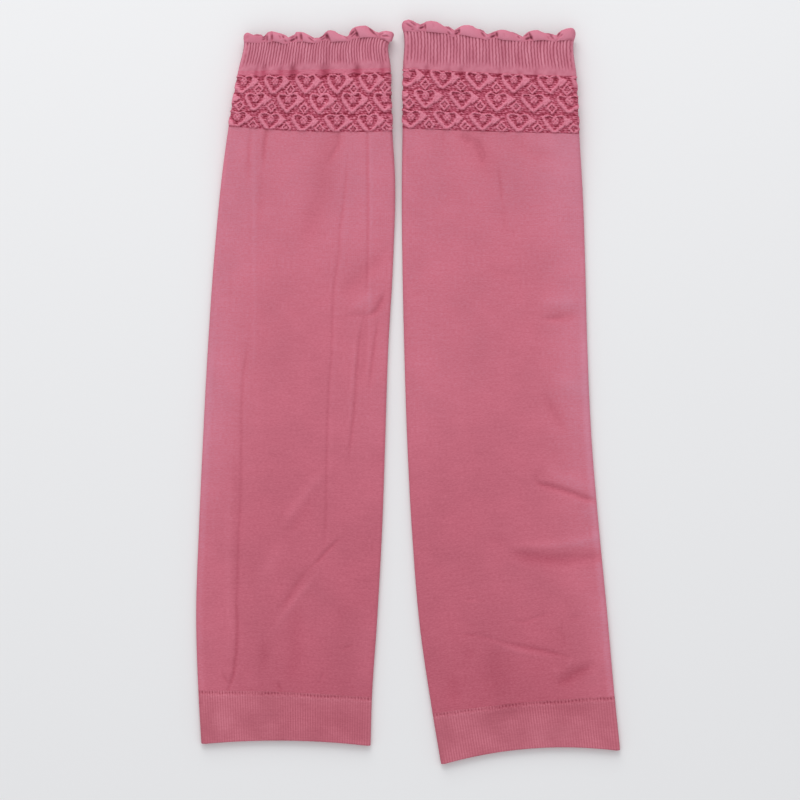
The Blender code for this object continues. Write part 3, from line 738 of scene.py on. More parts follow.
LEFT_PUCKERS = puckers_over(
    LEFT_SLEEVE, (0.10, 0.6), (0.15, 0.8), (0.27, 0.8), (0.355, 1.3), (0.575, 1.3), (0.795, 1.2), (0.97, 0.8)
)
RIGHT_PUCKERS = puckers_over(
    RIGHT_SLEEVE, (0.12, 0.7), (0.255, 0.6), (0.33, 0.7), (0.56, 0.6), (0.675, 0.4), (0.78, 0.7), (0.9, 0.4)
)


def seam_shift(seam, sleeve, columns):
    """How far the seam under the frill stands off its line, in X and Y: over the front only."""
    line = np.array(seam)
    flat, _ = place(sleeve, distance_to(sleeve, "rib_top"), columns.across)
    rise = np.interp(flat[:, 0], line[:, 0], line[:, 1]) - flat[:, 1]
    return np.stack([0 * rise, rise * upper_share(columns)], axis=-1)


def add_ribs(name, sleeve, puckers, seam):
    downs = rows_between(sleeve, "rib_top", "hearts_top", RIB_ROWS)
    columns = columns_round(*RIB_COLUMNS)
    shift = seam_shift(seam, sleeve, columns)
    return add_tube(name, sleeve, downs, columns, rib_relief(sleeve, puckers), RIB_HEIGHT, top_shift=shift)


left_ribs = add_ribs("left_ribbed_band", LEFT_SLEEVE, LEFT_PUCKERS, LEFT_SEAM)
right_ribs = add_ribs("right_ribbed_band", RIGHT_SLEEVE, RIGHT_PUCKERS, RIGHT_SEAM)
print("rib pitch:", round(GIRTH / RIBS_ROUND, 2), "mm")

# %% [markdown]
# ## The hearts
#
# Three rows of hearts stand out of a crinkled ground, every second row moved by half a heart, with a small
# diamond in each gap. On the machine the raised yarn is knitted in, and the ground behind it draws together.
# The heart and the diamond are ordinary knitting motifs, drawn here by formula. One heart is worked out once,
# in its own small cell, and every point of the band looks up its place in the nearest cell.

# %% One heart, worked out by formula
HEART_RISE = 1.0

HeartPoint = namedtuple("HeartPoint", "x y half_width")

HEART = (
    HeartPoint(-0.5, -4.6, 1.00),
    HeartPoint(-3.1, -2.3, 1.30),
    HeartPoint(-5.4, 0.4, 1.35),
    HeartPoint(-6.6, 2.7, 1.10),
    HeartPoint(-6.2, 4.2, 0.75),
    HeartPoint(-4.4, 4.8, 0.55),
    HeartPoint(-2.4, 4.5, 0.50),
    HeartPoint(-0.4, 3.7, 0.60),
    HeartPoint(1.4, 4.3, 0.50),
    HeartPoint(3.1, 4.8, 0.55),
    HeartPoint(4.9, 4.2, 0.80),
    HeartPoint(6.0, 2.0, 1.10),
    HeartPoint(4.7, -0.5, 1.10),
    HeartPoint(2.2, -2.8, 1.00),
)
HEART_PATCH = ((4.6, 5.0), (10.2, 1.7), (5.2, -2.6))
# Where the ground inside a heart dips, and is painted darker as painted shade
HEART_INSIDE = ((-5.8, 3.9), (5.4, 3.9), (0.0, -3.6))
HEART_CREST = ((-2.6, 2.3), (-0.9, 3.9), (0.9, 3.9), (2.6, 2.3), (1.5, -0.6), (-1.5, -0.6))


def cord(distance, half_width):
    """Cross-section of a raised line: a round cord, 1 on its line and 0 at its sides."""
    return np.sqrt(np.clip(1 - (distance / half_width) ** 2, 0, 1))


def loop_height(x, y, loop):
    """Height of a closed line of cords: the highest of its straight pieces, each of the width of its ends."""
    best = np.zeros(np.shape(x))
    for (ax, ay, a_width), (bx, by, b_width) in zip(loop, np.roll(loop, -1, axis=0)):
        dx, dy = bx - ax, by - ay
        share = np.clip(((x - ax) * dx + (y - ay) * dy) / (dx * dx + dy * dy), 0, 1)
        distance = np.hypot(x - ax - share * dx, y - ay - share * dy)
        best = np.maximum(best, cord(distance, a_width + share * (b_width - a_width)))
    return best


def patch_height(x, y, corners, edge):
    """Height of a filled patch: 1 inside, rounded down to 0 at its sides over a width of edge."""
    outside = np.full(np.shape(x), -np.inf)
    for (ax, ay), (bx, by) in zip(corners, np.roll(corners, -1, axis=0)):
        length = np.hypot(bx - ax, by - ay)
        outside = np.maximum(outside, ((y - ay) * (bx - ax) - (x - ax) * (by - ay)) / length)
    return cord(np.clip(outside + edge, 0, None), edge)


def heart_cell(x, y):
    """Raised height in a heart's cell: its outline, the patch on its right, and its crest of small petals."""
    round_it = np.array(HEART[-2:] + HEART + HEART[:2])
    places = 2 + np.linspace(0, len(HEART), 3 * len(HEART), endpoint=False)
    smooth = smooth_through(places, np.arange(len(round_it)) * 1.0, round_it)
    patch, crest = patch_height(x, y, HEART_PATCH, 0.7), patch_height(x, y, HEART_CREST, 0.7)
    petals = 0.8 + 0.25 * np.cos(2 * np.pi * x / 2.3) * np.cos(2 * np.pi * (y - 1.4) / 2.4)
    return np.maximum.reduce([loop_height(x, y, smooth), patch, crest * petals])


def diamond_cell(x, y):
    """Raised height in a gap: the outline of a diamond, with a small cross in its middle."""
    reach = np.abs(x) * 1.05 + np.abs(y)
    ring = cord(reach - 2.75, 0.95)
    cross = cord(np.minimum(np.abs(x), np.abs(y)), 0.4) * (reach < 1.2) * 0.6
    return np.maximum(ring, cross)


print("points of a heart:", len(HEART))

# %% Cells round the band
HEART_PITCH = 0.2145
LEFT_ROWS = (0.232, 0.530, 0.865)
RIGHT_ROWS = (0.155, 0.487, 0.838)
LEFT_STARTS = (0.025, 0.127, 0.023)
RIGHT_STARTS = (0.002, 0.116, 0.026)
DIAMOND_DROP = 2.9
COURSE_PITCH = 1.3
HEART_GRID_ROWS = 110
HEART_GRID_COLUMNS = (320, 170)


def cell_centres(start):
    """Girth of ten hearts round the tube: five over the front, and the rest spread evenly behind."""
    front = GIRTH_FRONT * (start + HEART_PITCH * np.arange(5))
    behind = np.linspace(front[-1], front[0] + GIRTH, 7)[1:]
    return np.concatenate([front, behind])


def across_cells(girth, start, offset):
    """Millimetres from the middle of the nearest cell, for cells moved on by a share of a pitch."""
    centres = cell_centres(start)
    number = np.arange(len(centres))
    wrapped = np.where(girth < centres[0], girth + GIRTH, girth)
    count = np.interp(wrapped, centres, number) - offset
    pitch = np.interp(wrapped, (centres[1:] + centres[:-1]) / 2, np.diff(centres))
    return (count - np.round(count)) * pitch


def hearts_relief(sleeve, rows, starts, hem_depth, puckers):
    """Relief of the band: the highest of the hearts and diamonds of the three rows, over a crinkled ground.

    The band starts with a smooth hem, into which the puckers of the ribs run on.
    """
    top, foot = distance_to(sleeve, "hearts_top"), distance_to(sleeve, "body_top")

    def relief(down, columns, flat):
        girth = columns.girth + 0 * down
        x_sway = 0.32 * ripple(girth / 4, down / 4, 0.9) + 0.24 * ripple(girth / 0.6, down / 0.45, 2.3)
        y_sway = 0.32 * ripple(girth / 5, down / 4, 2.7) + 0.24 * ripple(girth / 0.55, down / 0.5, 0.4)
        raised, inside = np.zeros(down.shape), np.zeros(down.shape)
        between = np.zeros(down.shape)
        for start, row in zip(starts, rows):
            y = top + row * (foot - top) - down + y_sway
            x = across_cells(girth, start, 0.0) + x_sway
            raised = np.maximum(raised, heart_cell(x, y))
            inside = np.maximum(inside, patch_height(x, y, HEART_INSIDE, 2.2))
            x = across_cells(girth, start, 0.5) + x_sway
            raised = np.maximum(raised, diamond_cell(x, y + DIAMOND_DROP))
            between = np.maximum(between, cord(y + 6.2 + 0.5 * ripple(girth / 1.6, 0 * girth, 4.4), 0.7))
        beads = 0.82 + 0.30 * ripple(girth / 0.36, down / 0.33, 5.0)
        course = np.sin(2 * np.pi * (down - y_sway) / COURSE_PITCH)
        knots = 0.5 * ripple(girth / 1.1, down / 0.34, 1.1) + 0.6 * ripple(girth / 0.5, down / 0.36, 3.0)
        crinkle = knots + 0.45 * course
        below_hem = down - top - hem_depth * (1 + 0.35 * ripple(girth / 3, 0 * girth, 2.2))
        strip = 1 - fade_between(below_hem, 0.0, 0.8)
        shade_under_strip = (1 - strip) * (1 - fade_between(below_hem, 1.0, 3.5))
        edge = fade_between(foot - down, 0.0, 0.6)
        dent = crease_height(flat, puckers) * facing_up(columns)
        ground = 0.24 * crinkle - 0.15 * inside - 0.12 * between
        height = HEART_RISE * raised * (0.9 + 0.1 * beads) + (1 - raised) * ground
        height = np.maximum(height * edge - 0.3 * (1 - edge), 0.45 * strip) + dent
        # Painted shade inside each heart, just under the smooth hem and in the grooves between rows; the
        # crinkle shifts the ground both as the knit's own unevenness and as painted shade in its hollows
        shade = 0.95 * crinkle - 0.04 - 0.36 * inside - 0.3 * shade_under_strip - 0.5 * between
        # Painted light on the raised cords; painted shade at the foot of the band and in the puckers
        tone = 0.85 * raised * beads + (1 - raised) * shade
        tone = tone * (1 - strip) + 0.42 * strip - 0.5 * (1 - edge) + 1.2 * dent
        return height, np.clip(tone, -1, 1)

    return relief


def add_hearts(name, sleeve, *details):
    downs = rows_between(sleeve, "hearts_top", "body_top", HEART_GRID_ROWS)
    relief = hearts_relief(sleeve, *details)
    return add_tube(name, sleeve, downs, columns_round(*HEART_GRID_COLUMNS), relief, HEART_RISE)


left_hearts = add_hearts("left_heart_band", LEFT_SLEEVE, LEFT_ROWS, LEFT_STARTS, 2.2, LEFT_PUCKERS)
right_hearts = add_hearts("right_heart_band", RIGHT_SLEEVE, RIGHT_ROWS, RIGHT_STARTS, 0.0, RIGHT_PUCKERS)
print("hearts round a sleeve:", len(cell_centres(LEFT_STARTS[0])) - 1, "in each of", len(LEFT_ROWS), "rows")

# %% [markdown]
# ## The frill
#
# The top edge is a welt that is caught down every couple of centimetres. Between two catches it folds over to
# the left as a smooth flap, and small tucks run into each catch. A flap is drawn by its two slanting sides,
# and the tucks are creases like those of the plain stretch, only narrow and deep.

# %% Flaps and tucks of the two frills
Flap = namedtuple("Flap", "left_top left_foot right_top right_foot height")

LEFT_FLAPS = (
    Flap((-93.0, 201.0), (-93.0, 194.9), (-81.8, 200.5), (-81.4, 194.3), 0.9),
    Flap((-78.6, 201.6), (-78.5, 194.9), (-76.2, 201.6), (-75.9, 194.9), 1.1),
    Flap((-75.9, 202.2), (-75.7, 195.4), (-69.4, 200.5), (-67.4, 194.3), 1.5),
    Flap((-62.6, 201.6), (-61.9, 195.4), (-59.9, 201.6), (-59.1, 195.4), 1.1),
    Flap((-59.8, 201.6), (-59.0, 195.4), (-54.3, 199.4), (-51.0, 194.9), 1.5),
    Flap((-45.8, 201.9), (-43.0, 195.2), (-35.8, 199.9), (-33.3, 195.7), 1.5),
    Flap((-30.0, 203.8), (-27.2, 197.7), (-22.1, 204.4), (-17.7, 198.2), 1.6),
    Flap((-21.5, 203.8), (-17.2, 198.2), (-16.7, 202.2), (-15.9, 198.2), 0.8),
    Flap((-16.0, 202.2), (-15.6, 197.7), (-5.6, 202.2), (-5.6, 194.3), 1.6),
)
RIGHT_FLAPS = (
    Flap((-3.9, 208.3), (-3.9, 201.0), (4.5, 207.8), (5.6, 201.0), 0.9),
    Flap((9.7, 207.8), (9.9, 201.0), (21.8, 205.0), (24.9, 198.2), 1.5),
    Flap((28.7, 205.5), (28.8, 198.8), (40.6, 203.3), (44.2, 196.6), 1.5),
    Flap((49.6, 203.3), (50.2, 196.6), (58.8, 201.6), (63.3, 195.4), 1.5),
    Flap((67.0, 202.2), (70.1, 195.7), (77.8, 201.0), (82.2, 195.4), 1.5),
    Flap((86.5, 202.7), (83.4, 196.0), (94.6, 203.8), (94.6, 196.0), 1.4),
)
LEFT_TUCKS = creases_of(
    (0.9, -0.25, (-89.0, 199.4), (-90.7, 196.6)), (0.4, -0.35, (-86.8, 199.4), (-81.8, 199.0)),
    (0.5, -0.60, (-81.5, 197.2), (-79.0, 199.1)), (0.5, -0.60, (-81.8, 196.2), (-79.2, 197.6)),
    (0.5, -0.60, (-78.7, 199.6), (-78.6, 195.3)), (1.1, 0.35, (-77.4, 200.5), (-76.9, 196.0)),
    (0.6, -0.70, (-76.0, 200.0), (-75.7, 196.1)), (0.45, -0.50, (-72.2, 199.2), (-70.7, 196.6)),
    (0.7, 0.30, (-71.2, 199.0), (-70.0, 196.0)), (0.45, -0.60, (-70.2, 199.2), (-69.3, 197.1)),
    (1.0, 0.35, (-68.7, 198.9), (-67.2, 195.4)), (0.5, -0.50, (-69.1, 196.8), (-67.8, 195.0)),
    (0.65, -0.90, (-66.4, 195.6), (-62.5, 197.5)), (0.45, -0.40, (-66.1, 197.3), (-62.9, 198.8)),
    (0.6, -0.70, (-62.3, 198.8), (-62.0, 196.6)), (0.6, -0.70, (-60.0, 200.6), (-59.1, 196.0)),
    (0.5, -0.70, (-56.2, 198.4), (-52.3, 195.3)), (0.7, 0.25, (-55.3, 198.5), (-52.0, 195.8)),
    (0.4, -0.50, (-54.7, 198.7), (-52.2, 196.6)), (1.0, 0.30, (-52.9, 197.9), (-51.0, 195.4)),
    (0.5, -0.70, (-49.7, 197.0), (-46.0, 199.7)), (0.4, -0.40, (-49.4, 198.3), (-46.5, 200.5)),
    (0.5, -0.50, (-49.1, 196.2), (-45.8, 198.0)), (0.8, -0.80, (-45.8, 200.4), (-45.0, 196.4)),
    (0.6, -0.50, (-45.7, 200.5), (-43.2, 195.7)), (1.1, 0.25, (-37.5, 198.8), (-34.2, 196.2)),
    (0.4, -0.40, (-36.1, 199.2), (-33.4, 196.8)), (0.6, -0.85, (-32.7, 198.7), (-29.5, 201.9)),
    (0.6, 0.35, (-32.3, 198.2), (-29.2, 201.3)), (0.45, -0.60, (-32.0, 197.8), (-29.0, 200.7)),
    (0.8, -0.80, (-29.0, 201.2), (-28.2, 198.0)), (0.5, -0.45, (-30.0, 203.4), (-27.3, 198.4)),
    (0.6, -0.80, (-22.3, 204.0), (-19.9, 201.0), (-17.5, 198.8)),
    (1.2, 0.30, (-20.6, 202.6), (-16.8, 199.6)), (0.5, -0.60, (-15.9, 199.1), (-13.2, 200.6)),
    (0.8, 0.30, (-14.8, 199.6), (-11.2, 199.7)),
    (0.5, -0.70, (-15.8, 198.6), (-12.0, 198.8), (-9.9, 197.8)),
    (0.6, -0.50, (-15.1, 197.5), (-12.1, 196.0)),
)
RIGHT_TUCKS = creases_of(
    (0.5, -0.60, (-1.7, 206.1), (3.1, 203.1)), (0.9, 0.35, (-1.1, 207.1), (3.9, 203.6)),
    (0.45, -0.50, (0.6, 207.0), (4.8, 204.1)), (0.5, -0.40, (1.7, 202.2), (3.4, 202.5)),
    (0.9, 0.40, (5.3, 205.2), (5.2, 201.3)), (0.6, -0.90, (5.9, 202.7), (9.3, 204.1)),
    (0.45, -0.35, (6.2, 204.4), (9.0, 205.4)), (0.5, -0.60, (9.6, 205.7), (9.8, 202.2)),
    (0.6, -0.22, (14.2, 206.1), (14.4, 202.9)), (0.45, -0.50, (20.4, 204.4), (23.2, 202.8), (24.9, 200.7)),
    (0.5, -0.70, (22.0, 201.6), (23.9, 198.9)), (0.9, 0.40, (22.3, 202.8), (24.8, 199.0)),
    (0.7, -0.95, (25.9, 199.5), (28.3, 200.8)), (0.45, -0.50, (25.9, 200.9), (28.4, 202.2)),
    (0.6, -0.80, (28.6, 202.8), (28.6, 200.0)), (0.45, -0.45, (39.2, 202.9), (43.0, 200.7)),
    (0.55, -0.75, (40.5, 201.4), (43.5, 197.5)), (1.0, 0.40, (42.1, 201.0), (44.8, 197.0)),
    (0.4, -0.40, (43.5, 200.7), (44.9, 198.6)), (0.65, -0.95, (45.6, 197.7), (49.2, 199.4)),
    (0.45, -0.40, (45.8, 199.5), (48.9, 200.8)), (0.7, -0.80, (49.4, 201.2), (50.0, 197.9)),
    (0.6, -0.22, (53.5, 200.8), (53.9, 197.4)), (0.45, -0.45, (57.6, 201.3), (61.0, 200.0), (63.5, 198.1)),
    (0.5, -0.70, (60.9, 199.2), (62.6, 196.8)), (1.1, 0.35, (59.9, 200.0), (63.5, 196.0)),
    (0.65, -0.90, (65.3, 196.6), (68.2, 198.0)), (0.45, -0.45, (65.1, 198.2), (67.4, 200.1)),
    (0.6, -0.60, (67.4, 201.2), (69.9, 196.1)), (0.9, -0.60, (68.2, 198.9), (69.2, 196.7)),
    (0.45, -0.45, (76.0, 200.8), (79.2, 199.8), (81.9, 198.2)), (0.5, -0.70, (79.3, 199.5), (81.8, 196.4)),
    (0.4, -0.30, (77.6, 198.8), (79.0, 196.6)), (1.0, 0.40, (80.1, 199.6), (82.8, 196.1)),
    (0.5, -0.80, (83.4, 198.0), (85.1, 201.0)), (0.7, 0.30, (83.9, 198.0), (85.9, 200.6)),
    (0.5, -0.65, (84.2, 197.8), (86.6, 200.0)), (0.45, -0.35, (87.4, 196.6), (92.7, 197.0)),
)
print("flaps:", len(LEFT_FLAPS), "and", len(RIGHT_FLAPS), "tucks:", len(LEFT_TUCKS), "and", len(RIGHT_TUCKS))

# %% The frill
FRILL_ROWS = 34
FRILL_COLUMNS = (300, 130)
FRILL_RISE = 1.6
LOW_STRIP = 0.5
BACK_DROP = 3.0
BACK_LOBES = 5
BACK_RISE = 0.9
EDGE_DROP = 0.9


def edge_shift(edge, sleeve, columns):
    """How far each column stands above the sleeve's top, in X and Y.

    Over the front it follows the edge table. Underneath are even lobes, hidden from above.
    """
    line = np.array(edge)
    flat, _ = place(sleeve, 0.0, columns.across)
    front = np.interp(flat[:, 0], line[:, 0], line[:, 1]) - flat[:, 1]
    behind = BACK_RISE * np.abs(np.sin(np.pi * BACK_LOBES * columns.across)) - BACK_DROP
    side = upper_share(columns)
    rise = (front - EDGE_DROP) * side + behind * (1 - side)
    return np.stack([0 * rise, rise], axis=-1)


def flap_height(flat, flaps):
    """Height of the flaps: a steep left side, a face that falls to the right, and a low step at its end."""
    x, y = flat[..., 0], flat[..., 1]
    highest = np.zeros(x.shape)
    for flap in flaps:
        (ax, ay), (bx, by), (cx, cy), (dx, dy) = flap[:4]
        left = ax + (y - ay) * (bx - ax) / (by - ay)
        right = cx + (y - cy) * (dx - cx) / (dy - cy)
        share = (x - left) / (right - left)
        face = 1 - 0.6 * fade_between(share, 0.35, 1.0)
        ends = fade_between(x - left, -0.15, 0.45) * (1 - fade_between(x - right, -0.3, 0.2))
        highest = np.maximum(highest, flap.height * face * ends)
    return highest


def add_frill(name, sleeve, edge, seam, flaps, tucks, bulge=0.0):
    """The welt: rows from its edge down to the seam, with flaps over a low strip, both round in section."""
    columns = columns_round(*FRILL_COLUMNS)
    foot = distance_to(sleeve, "rib_top")
    foot_shift = seam_shift(seam, sleeve, columns)
    foot_shift[:, 0] = bulge * fade_between(columns.across, 0.94, 1.0) * upper_share(columns)

    def relief(down, columns, flat):
        up = 1 - down / foot
        front = facing_up(columns)
        section = cord(up - 0.45, 0.64)
        raised = LOW_STRIP + (flap_height(flat, flaps) - LOW_STRIP) * front
        raised = np.maximum(raised, LOW_STRIP) * section
        dent = crease_height(flat, tucks) * front
        # Tone: painted shade in the tucks' troughs and painted light on their ridges, and the flaps painted
        # lighter the higher they stand
        return raised + dent, np.clip(dent + 0.32 * raised - 0.12, -1, 1)

    downs = np.linspace(0, foot, FRILL_ROWS)
    top_shift = edge_shift(edge, sleeve, columns)
    return add_tube(
        name, sleeve, downs, columns, relief, FRILL_RISE,
        round_top=True, top_shift=top_shift, foot_shift=foot_shift,
    )


LEFT_TABLES = (LEFT_EDGE, LEFT_SEAM, LEFT_FLAPS, LEFT_TUCKS)
RIGHT_TABLES = (RIGHT_EDGE, RIGHT_SEAM, RIGHT_FLAPS, RIGHT_TUCKS)
left_frill = add_frill("left_scalloped_frill", LEFT_SLEEVE, *LEFT_TABLES, bulge=1.4)
right_frill = add_frill("right_scalloped_frill", RIGHT_SLEEVE, *RIGHT_TABLES)
print("frill faces:", len(left_frill.data.polygons))

# %% [markdown]
# ## The turned cuff
#
# At the wrist the tube is turned back inside itself and caught down, which leaves a row of small dark stitch
# holes, a slightly raised line under them, and a double thickness. Its very fine ribs are in the material.

# %% The cuff
STITCH_PITCH = 1.9
CUFF_ROWS = 60
CUFF_COLUMNS = (260, 100)
LEFT_SHADES = creases_of(
    (9.0, -0.22, (-76.0, -192.0), (-60.0, -182.0), (-38.0, -186.0), (-16.0, -190.0)),
    (7.0, 0.20, (-112.0, -180.0), (-96.0, -188.0)),
)
RIGHT_SHADES = creases_of(
    (6.0, -0.26, (38.0, -180.0), (58.0, -176.0), (84.0, -176.0), (104.0, -178.0)),
    (6.0, 0.18, (60.0, -194.0), (100.0, -190.0)),
)


def cuff_relief(sleeve, shades):
    """Relief of the cuff: stitch holes along its top, with flecks of yarn round a raised line under them.

    The shades are wide soft places drawn as creases, but only in the tone: painted shade where the double
    cloth lies slack, and painted light where a shade's height is positive.
    """
    top = distance_to(sleeve, "cuff_top")

    def relief(down, columns, flat):
        girth = columns.girth + 0 * down
        below = down - top
        wander = 0.35 * ripple(girth / 7, 0 * girth, 2.2) + 0.2 * ripple(girth / 0.8, 0 * girth, 4.6)
        hole = np.exp(-(((below - 1.1 - wander) / 0.7) ** 2))
        beat = 0.5 + 0.5 * np.sin(2 * np.pi * girth / STITCH_PITCH + 2.5 * ripple(girth / 8, 0 * girth, 1.4))
        broken = fade_between(ripple(girth / 6, 0 * girth, 5.3), -0.7, 0.5)
        hole = hole * (0.1 + 0.9 * beat**2) * (0.5 + 0.5 * broken)
        line = np.exp(-(((below - 2.8 - wander) / 0.9) ** 2))
        flecks = ripple(girth / 0.4, below / 0.35, 1.7) * np.exp(-(((below - 2.2) / 1.7) ** 2))
        swell = 0.12 * ripple(flat[..., 0] / 22, flat[..., 1] / 14, 0.6)
        start = fade_between(below, 0.0, 2.0)
        height = 0.10 * start + 0.10 * line - 0.40 * hole + swell * start
        top_side = np.clip(np.cos(columns.turn), 0.3, 1)
        shade = crease_height(flat, shades) * top_side
        # Tone: the raised line a little lighter as painted light, and the shades as painted shade and painted
        # light
        tone = 0.05 + 0.12 * line + 0.3 * flecks - 1.15 * hole + shade
        return height * top_side, np.clip(tone, -1, 1)

    return relief


def add_cuff(name, sleeve, shades):
    downs = rows_between(sleeve, "cuff_top", "hem", CUFF_ROWS, short=RIM_RADIUS)
    columns = columns_round(*CUFF_COLUMNS)
    return add_tube(name, sleeve, downs, columns, cuff_relief(sleeve, shades), 0.3, round_bottom=True)


left_cuff = add_cuff("left_turned_cuff", LEFT_SLEEVE, LEFT_SHADES)
right_cuff = add_cuff("right_turned_cuff", RIGHT_SLEEVE, RIGHT_SHADES)
print("cuff faces:", len(left_cuff.data.polygons))

# %% [markdown]
# ## The yarn
#
# All of it is one dusty rose nylon yarn with a little elastane, matt, with a faint bloom of loose fibre that
# shows where the cloth turns away. The stretches differ only in how the stitches shade each other, so one
# function makes all five materials: a deep, a middle and a light shade of the yarn along the tone that the
# relief left on the mesh, which is painted shade and painted light, uneven dyeing, and a bump of stitches at
# the real spacing.

# %% Colours and nodes
def linear(hex_colour):
    """A linear colour from an sRGB hex value: each channel over 12.92 when dark, else a power of 2.4."""
    channels = np.array([int(hex_colour[i : i + 2], 16) for i in (0, 2, 4)]) / 255
    curve = np.where(channels <= 0.04045, channels / 12.92, ((channels + 0.055) / 1.055) ** 2.4)
    return (*[float(value) for value in curve], 1.0)


def add_node(tree, kind, settings=None, **links):
    """A node of that kind, with its settings, and with each named input linked or set."""
    node = tree.nodes.new(kind)
    for key, value in (settings or {}).items():
        setattr(node, key, value)
    for key, value in links.items():
        socket = node.inputs[int(key[3:])] if key.startswith("in_") else node.inputs[key.replace("_", " ")]
        if isinstance(value, bpy.types.NodeSocket):
            tree.links.new(value, socket)
        else:
            socket.default_value = value
    return node


print("middle shade of the jersey:", [round(value, 3) for value in linear("cc6f81")[:3]])

# %% [markdown]
# Stitches of fine jersey stand about 0.9 mm apart across and 0.7 mm down, which is under two pixels here, so
# the wale lines are drawn 1.1 mm apart and kept faint. Those of the ribs follow the ribs' halves, and those
# of the cuff are its very fine ribs.

# %% The five finishes
Finish = namedtuple("Finish", "shades wale_pitch bump grains mottle streaks wale_tone")

# Shades from deep to light, the deep one taking the painted shade and the light one the painted light of the
# tone; the pitch of the wales and the height of the fibre in millimetres; the fibre's grains in a metre,
# across and down; and how far the fibre, the streaks and the wales shift the tone
FINISHES = {
    "rolled_welt_knit": Finish(("84364a", "c97488", "dd94a8"), 1.1, 0.08, (1400, 700, 1), 0.25, 0, 0),
    "ribbed_knit": Finish(("862b3f", "bf6b7e", "d98b9d"), 0.9, 0.10, (1300, 900, 1), 0.35, 0, 0),
    "heart_jacquard_knit": Finish(("80182f", "b9536a", "e48da1"), 1.1, 0.35, (330, 1500, 1), 1.1, 0, 0),
    "plain_jersey_knit": Finish(("a84659", "cc6f81", "d592a8"), 1.1, 0.08, (620, 1500, 1), 1.15, 0.35, 0),
    "turned_cuff_knit": Finish(("9a4052", "c06777", "da8595"), 1.45, 0.08, (620, 1500, 1), 1.0, 0.4, 0.65),
}
STREAK_STRETCH = (95.0, 700.0, 1.0)


def knit_material(name, finish):
    """Matt knitted nylon: shades along the tone attribute, mottled dye, a fibre bump and a soft sheen.

    The fibre, the long streaks of uneven courses and the wale lines each shift the tone about its own
    middle, so that none of them changes the mean.
    """
    material = bpy.data.materials.new(name)
    material.use_nodes = True
    tree = material.node_tree
    shader = tree.nodes["Principled BSDF"]
    tone = add_node(tree, "ShaderNodeAttribute", {"attribute_name": "tone"}).outputs["Fac"]
    cloth = add_node(tree, "ShaderNodeUVMap", {"uv_map": "cloth"}).outputs["UV"]

    fibre_place = add_node(tree, "ShaderNodeMapping", Vector=cloth, Scale=finish.grains).outputs["Vector"]
    fibre = add_node(
        tree, "ShaderNodeTexNoise", Vector=fibre_place, Scale=1.0, Detail=3.0, Roughness=0.6
    ).outputs["Fac"]
    streak_place = add_node(tree, "ShaderNodeMapping", Vector=cloth, Scale=STREAK_STRETCH).outputs["Vector"]
    streak = add_node(tree, "ShaderNodeTexNoise", Vector=streak_place, Scale=1.0, Detail=2.0).outputs["Fac"]
    cloud = add_node(tree, "ShaderNodeTexNoise", Vector=cloth, Scale=42.0, Detail=3.0).outputs["Fac"]
    wale = add_node(
        tree,
        "ShaderNodeTexWave",
        {"wave_type": "BANDS", "bands_direction": "X", "wave_profile": "SIN"},
        Vector=cloth,
        Scale=np.pi / 10 / (finish.wale_pitch * MM),
        Distortion=0.6,
        Detail=1.0,
    ).outputs["Fac"]

    patches = add_node(
        tree, "ShaderNodeMapRange", Value=cloud, From_Min=0.35, From_Max=0.65, To_Min=0.2, To_Max=1.0
    ).outputs["Result"]
    wale_seen = add_node(
        tree, "ShaderNodeMath", {"operation": "MULTIPLY"}, in_0=wale, in_1=patches
    ).outputs[0]
    level = tone
    shifts = ((fibre, finish.mottle), (streak, finish.streaks), (wale_seen, finish.wale_tone))
    for pattern, share in shifts:
        level = add_node(
            tree, "ShaderNodeMath", {"operation": "MULTIPLY_ADD"}, in_0=pattern, in_1=share, in_2=level
        ).outputs[0]
    middle_level = (finish.mottle + finish.streaks) / 2 + 0.3 * finish.wale_tone
    where = add_node(
        tree, "ShaderNodeMapRange", Value=level, From_Min=middle_level - 1, From_Max=middle_level + 1
    ).outputs["Result"]
    ramp = add_node(tree, "ShaderNodeValToRGB", Fac=where)
    deep, middle, light = (linear(shade) for shade in finish.shades)
    ramp.color_ramp.elements[0].color = deep
    ramp.color_ramp.elements[1].color = light
    ramp.color_ramp.elements.new(0.5).color = middle
    clouded = add_node(
        tree, "ShaderNodeMapRange", Value=cloud, From_Min=0.3, From_Max=0.7, To_Min=0.955, To_Max=1.045
    ).outputs["Result"]
    dyed = add_node(
        tree, "ShaderNodeVectorMath", {"operation": "SCALE"}, in_0=ramp.outputs["Color"], Scale=clouded
    ).outputs["Vector"]
    tree.links.new(dyed, shader.inputs["Base Color"])

    wale_bump = add_node(
        tree, "ShaderNodeBump", Strength=0.35, Distance=0.12 * MM, Height=wale
    ).outputs["Normal"]
    fibre_bump = add_node(
        tree, "ShaderNodeBump", Strength=1.0, Distance=finish.bump * MM, Height=fibre, Normal=wale_bump
    ).outputs["Normal"]
    tree.links.new(fibre_bump, shader.inputs["Normal"])
    shader.inputs["Roughness"].default_value = 0.88
    shader.inputs["Specular IOR Level"].default_value = 0.25
    shader.inputs["Sheen Weight"].default_value = 0.22
    shader.inputs["Sheen Roughness"].default_value = 0.45
    shader.inputs["Sheen Tint"].default_value = linear("e9b6c8")
    return material


# Kept by slot, because the frame's solids bring materials of the same names
MATERIALS = {name: knit_material(name, finish) for name, finish in FINISHES.items()}
print("materials:", ", ".join(MATERIALS))

# %% [markdown]
# ## Putting the pieces in place
#
# Every piece takes the place of its solid and takes its finish from the same slot.

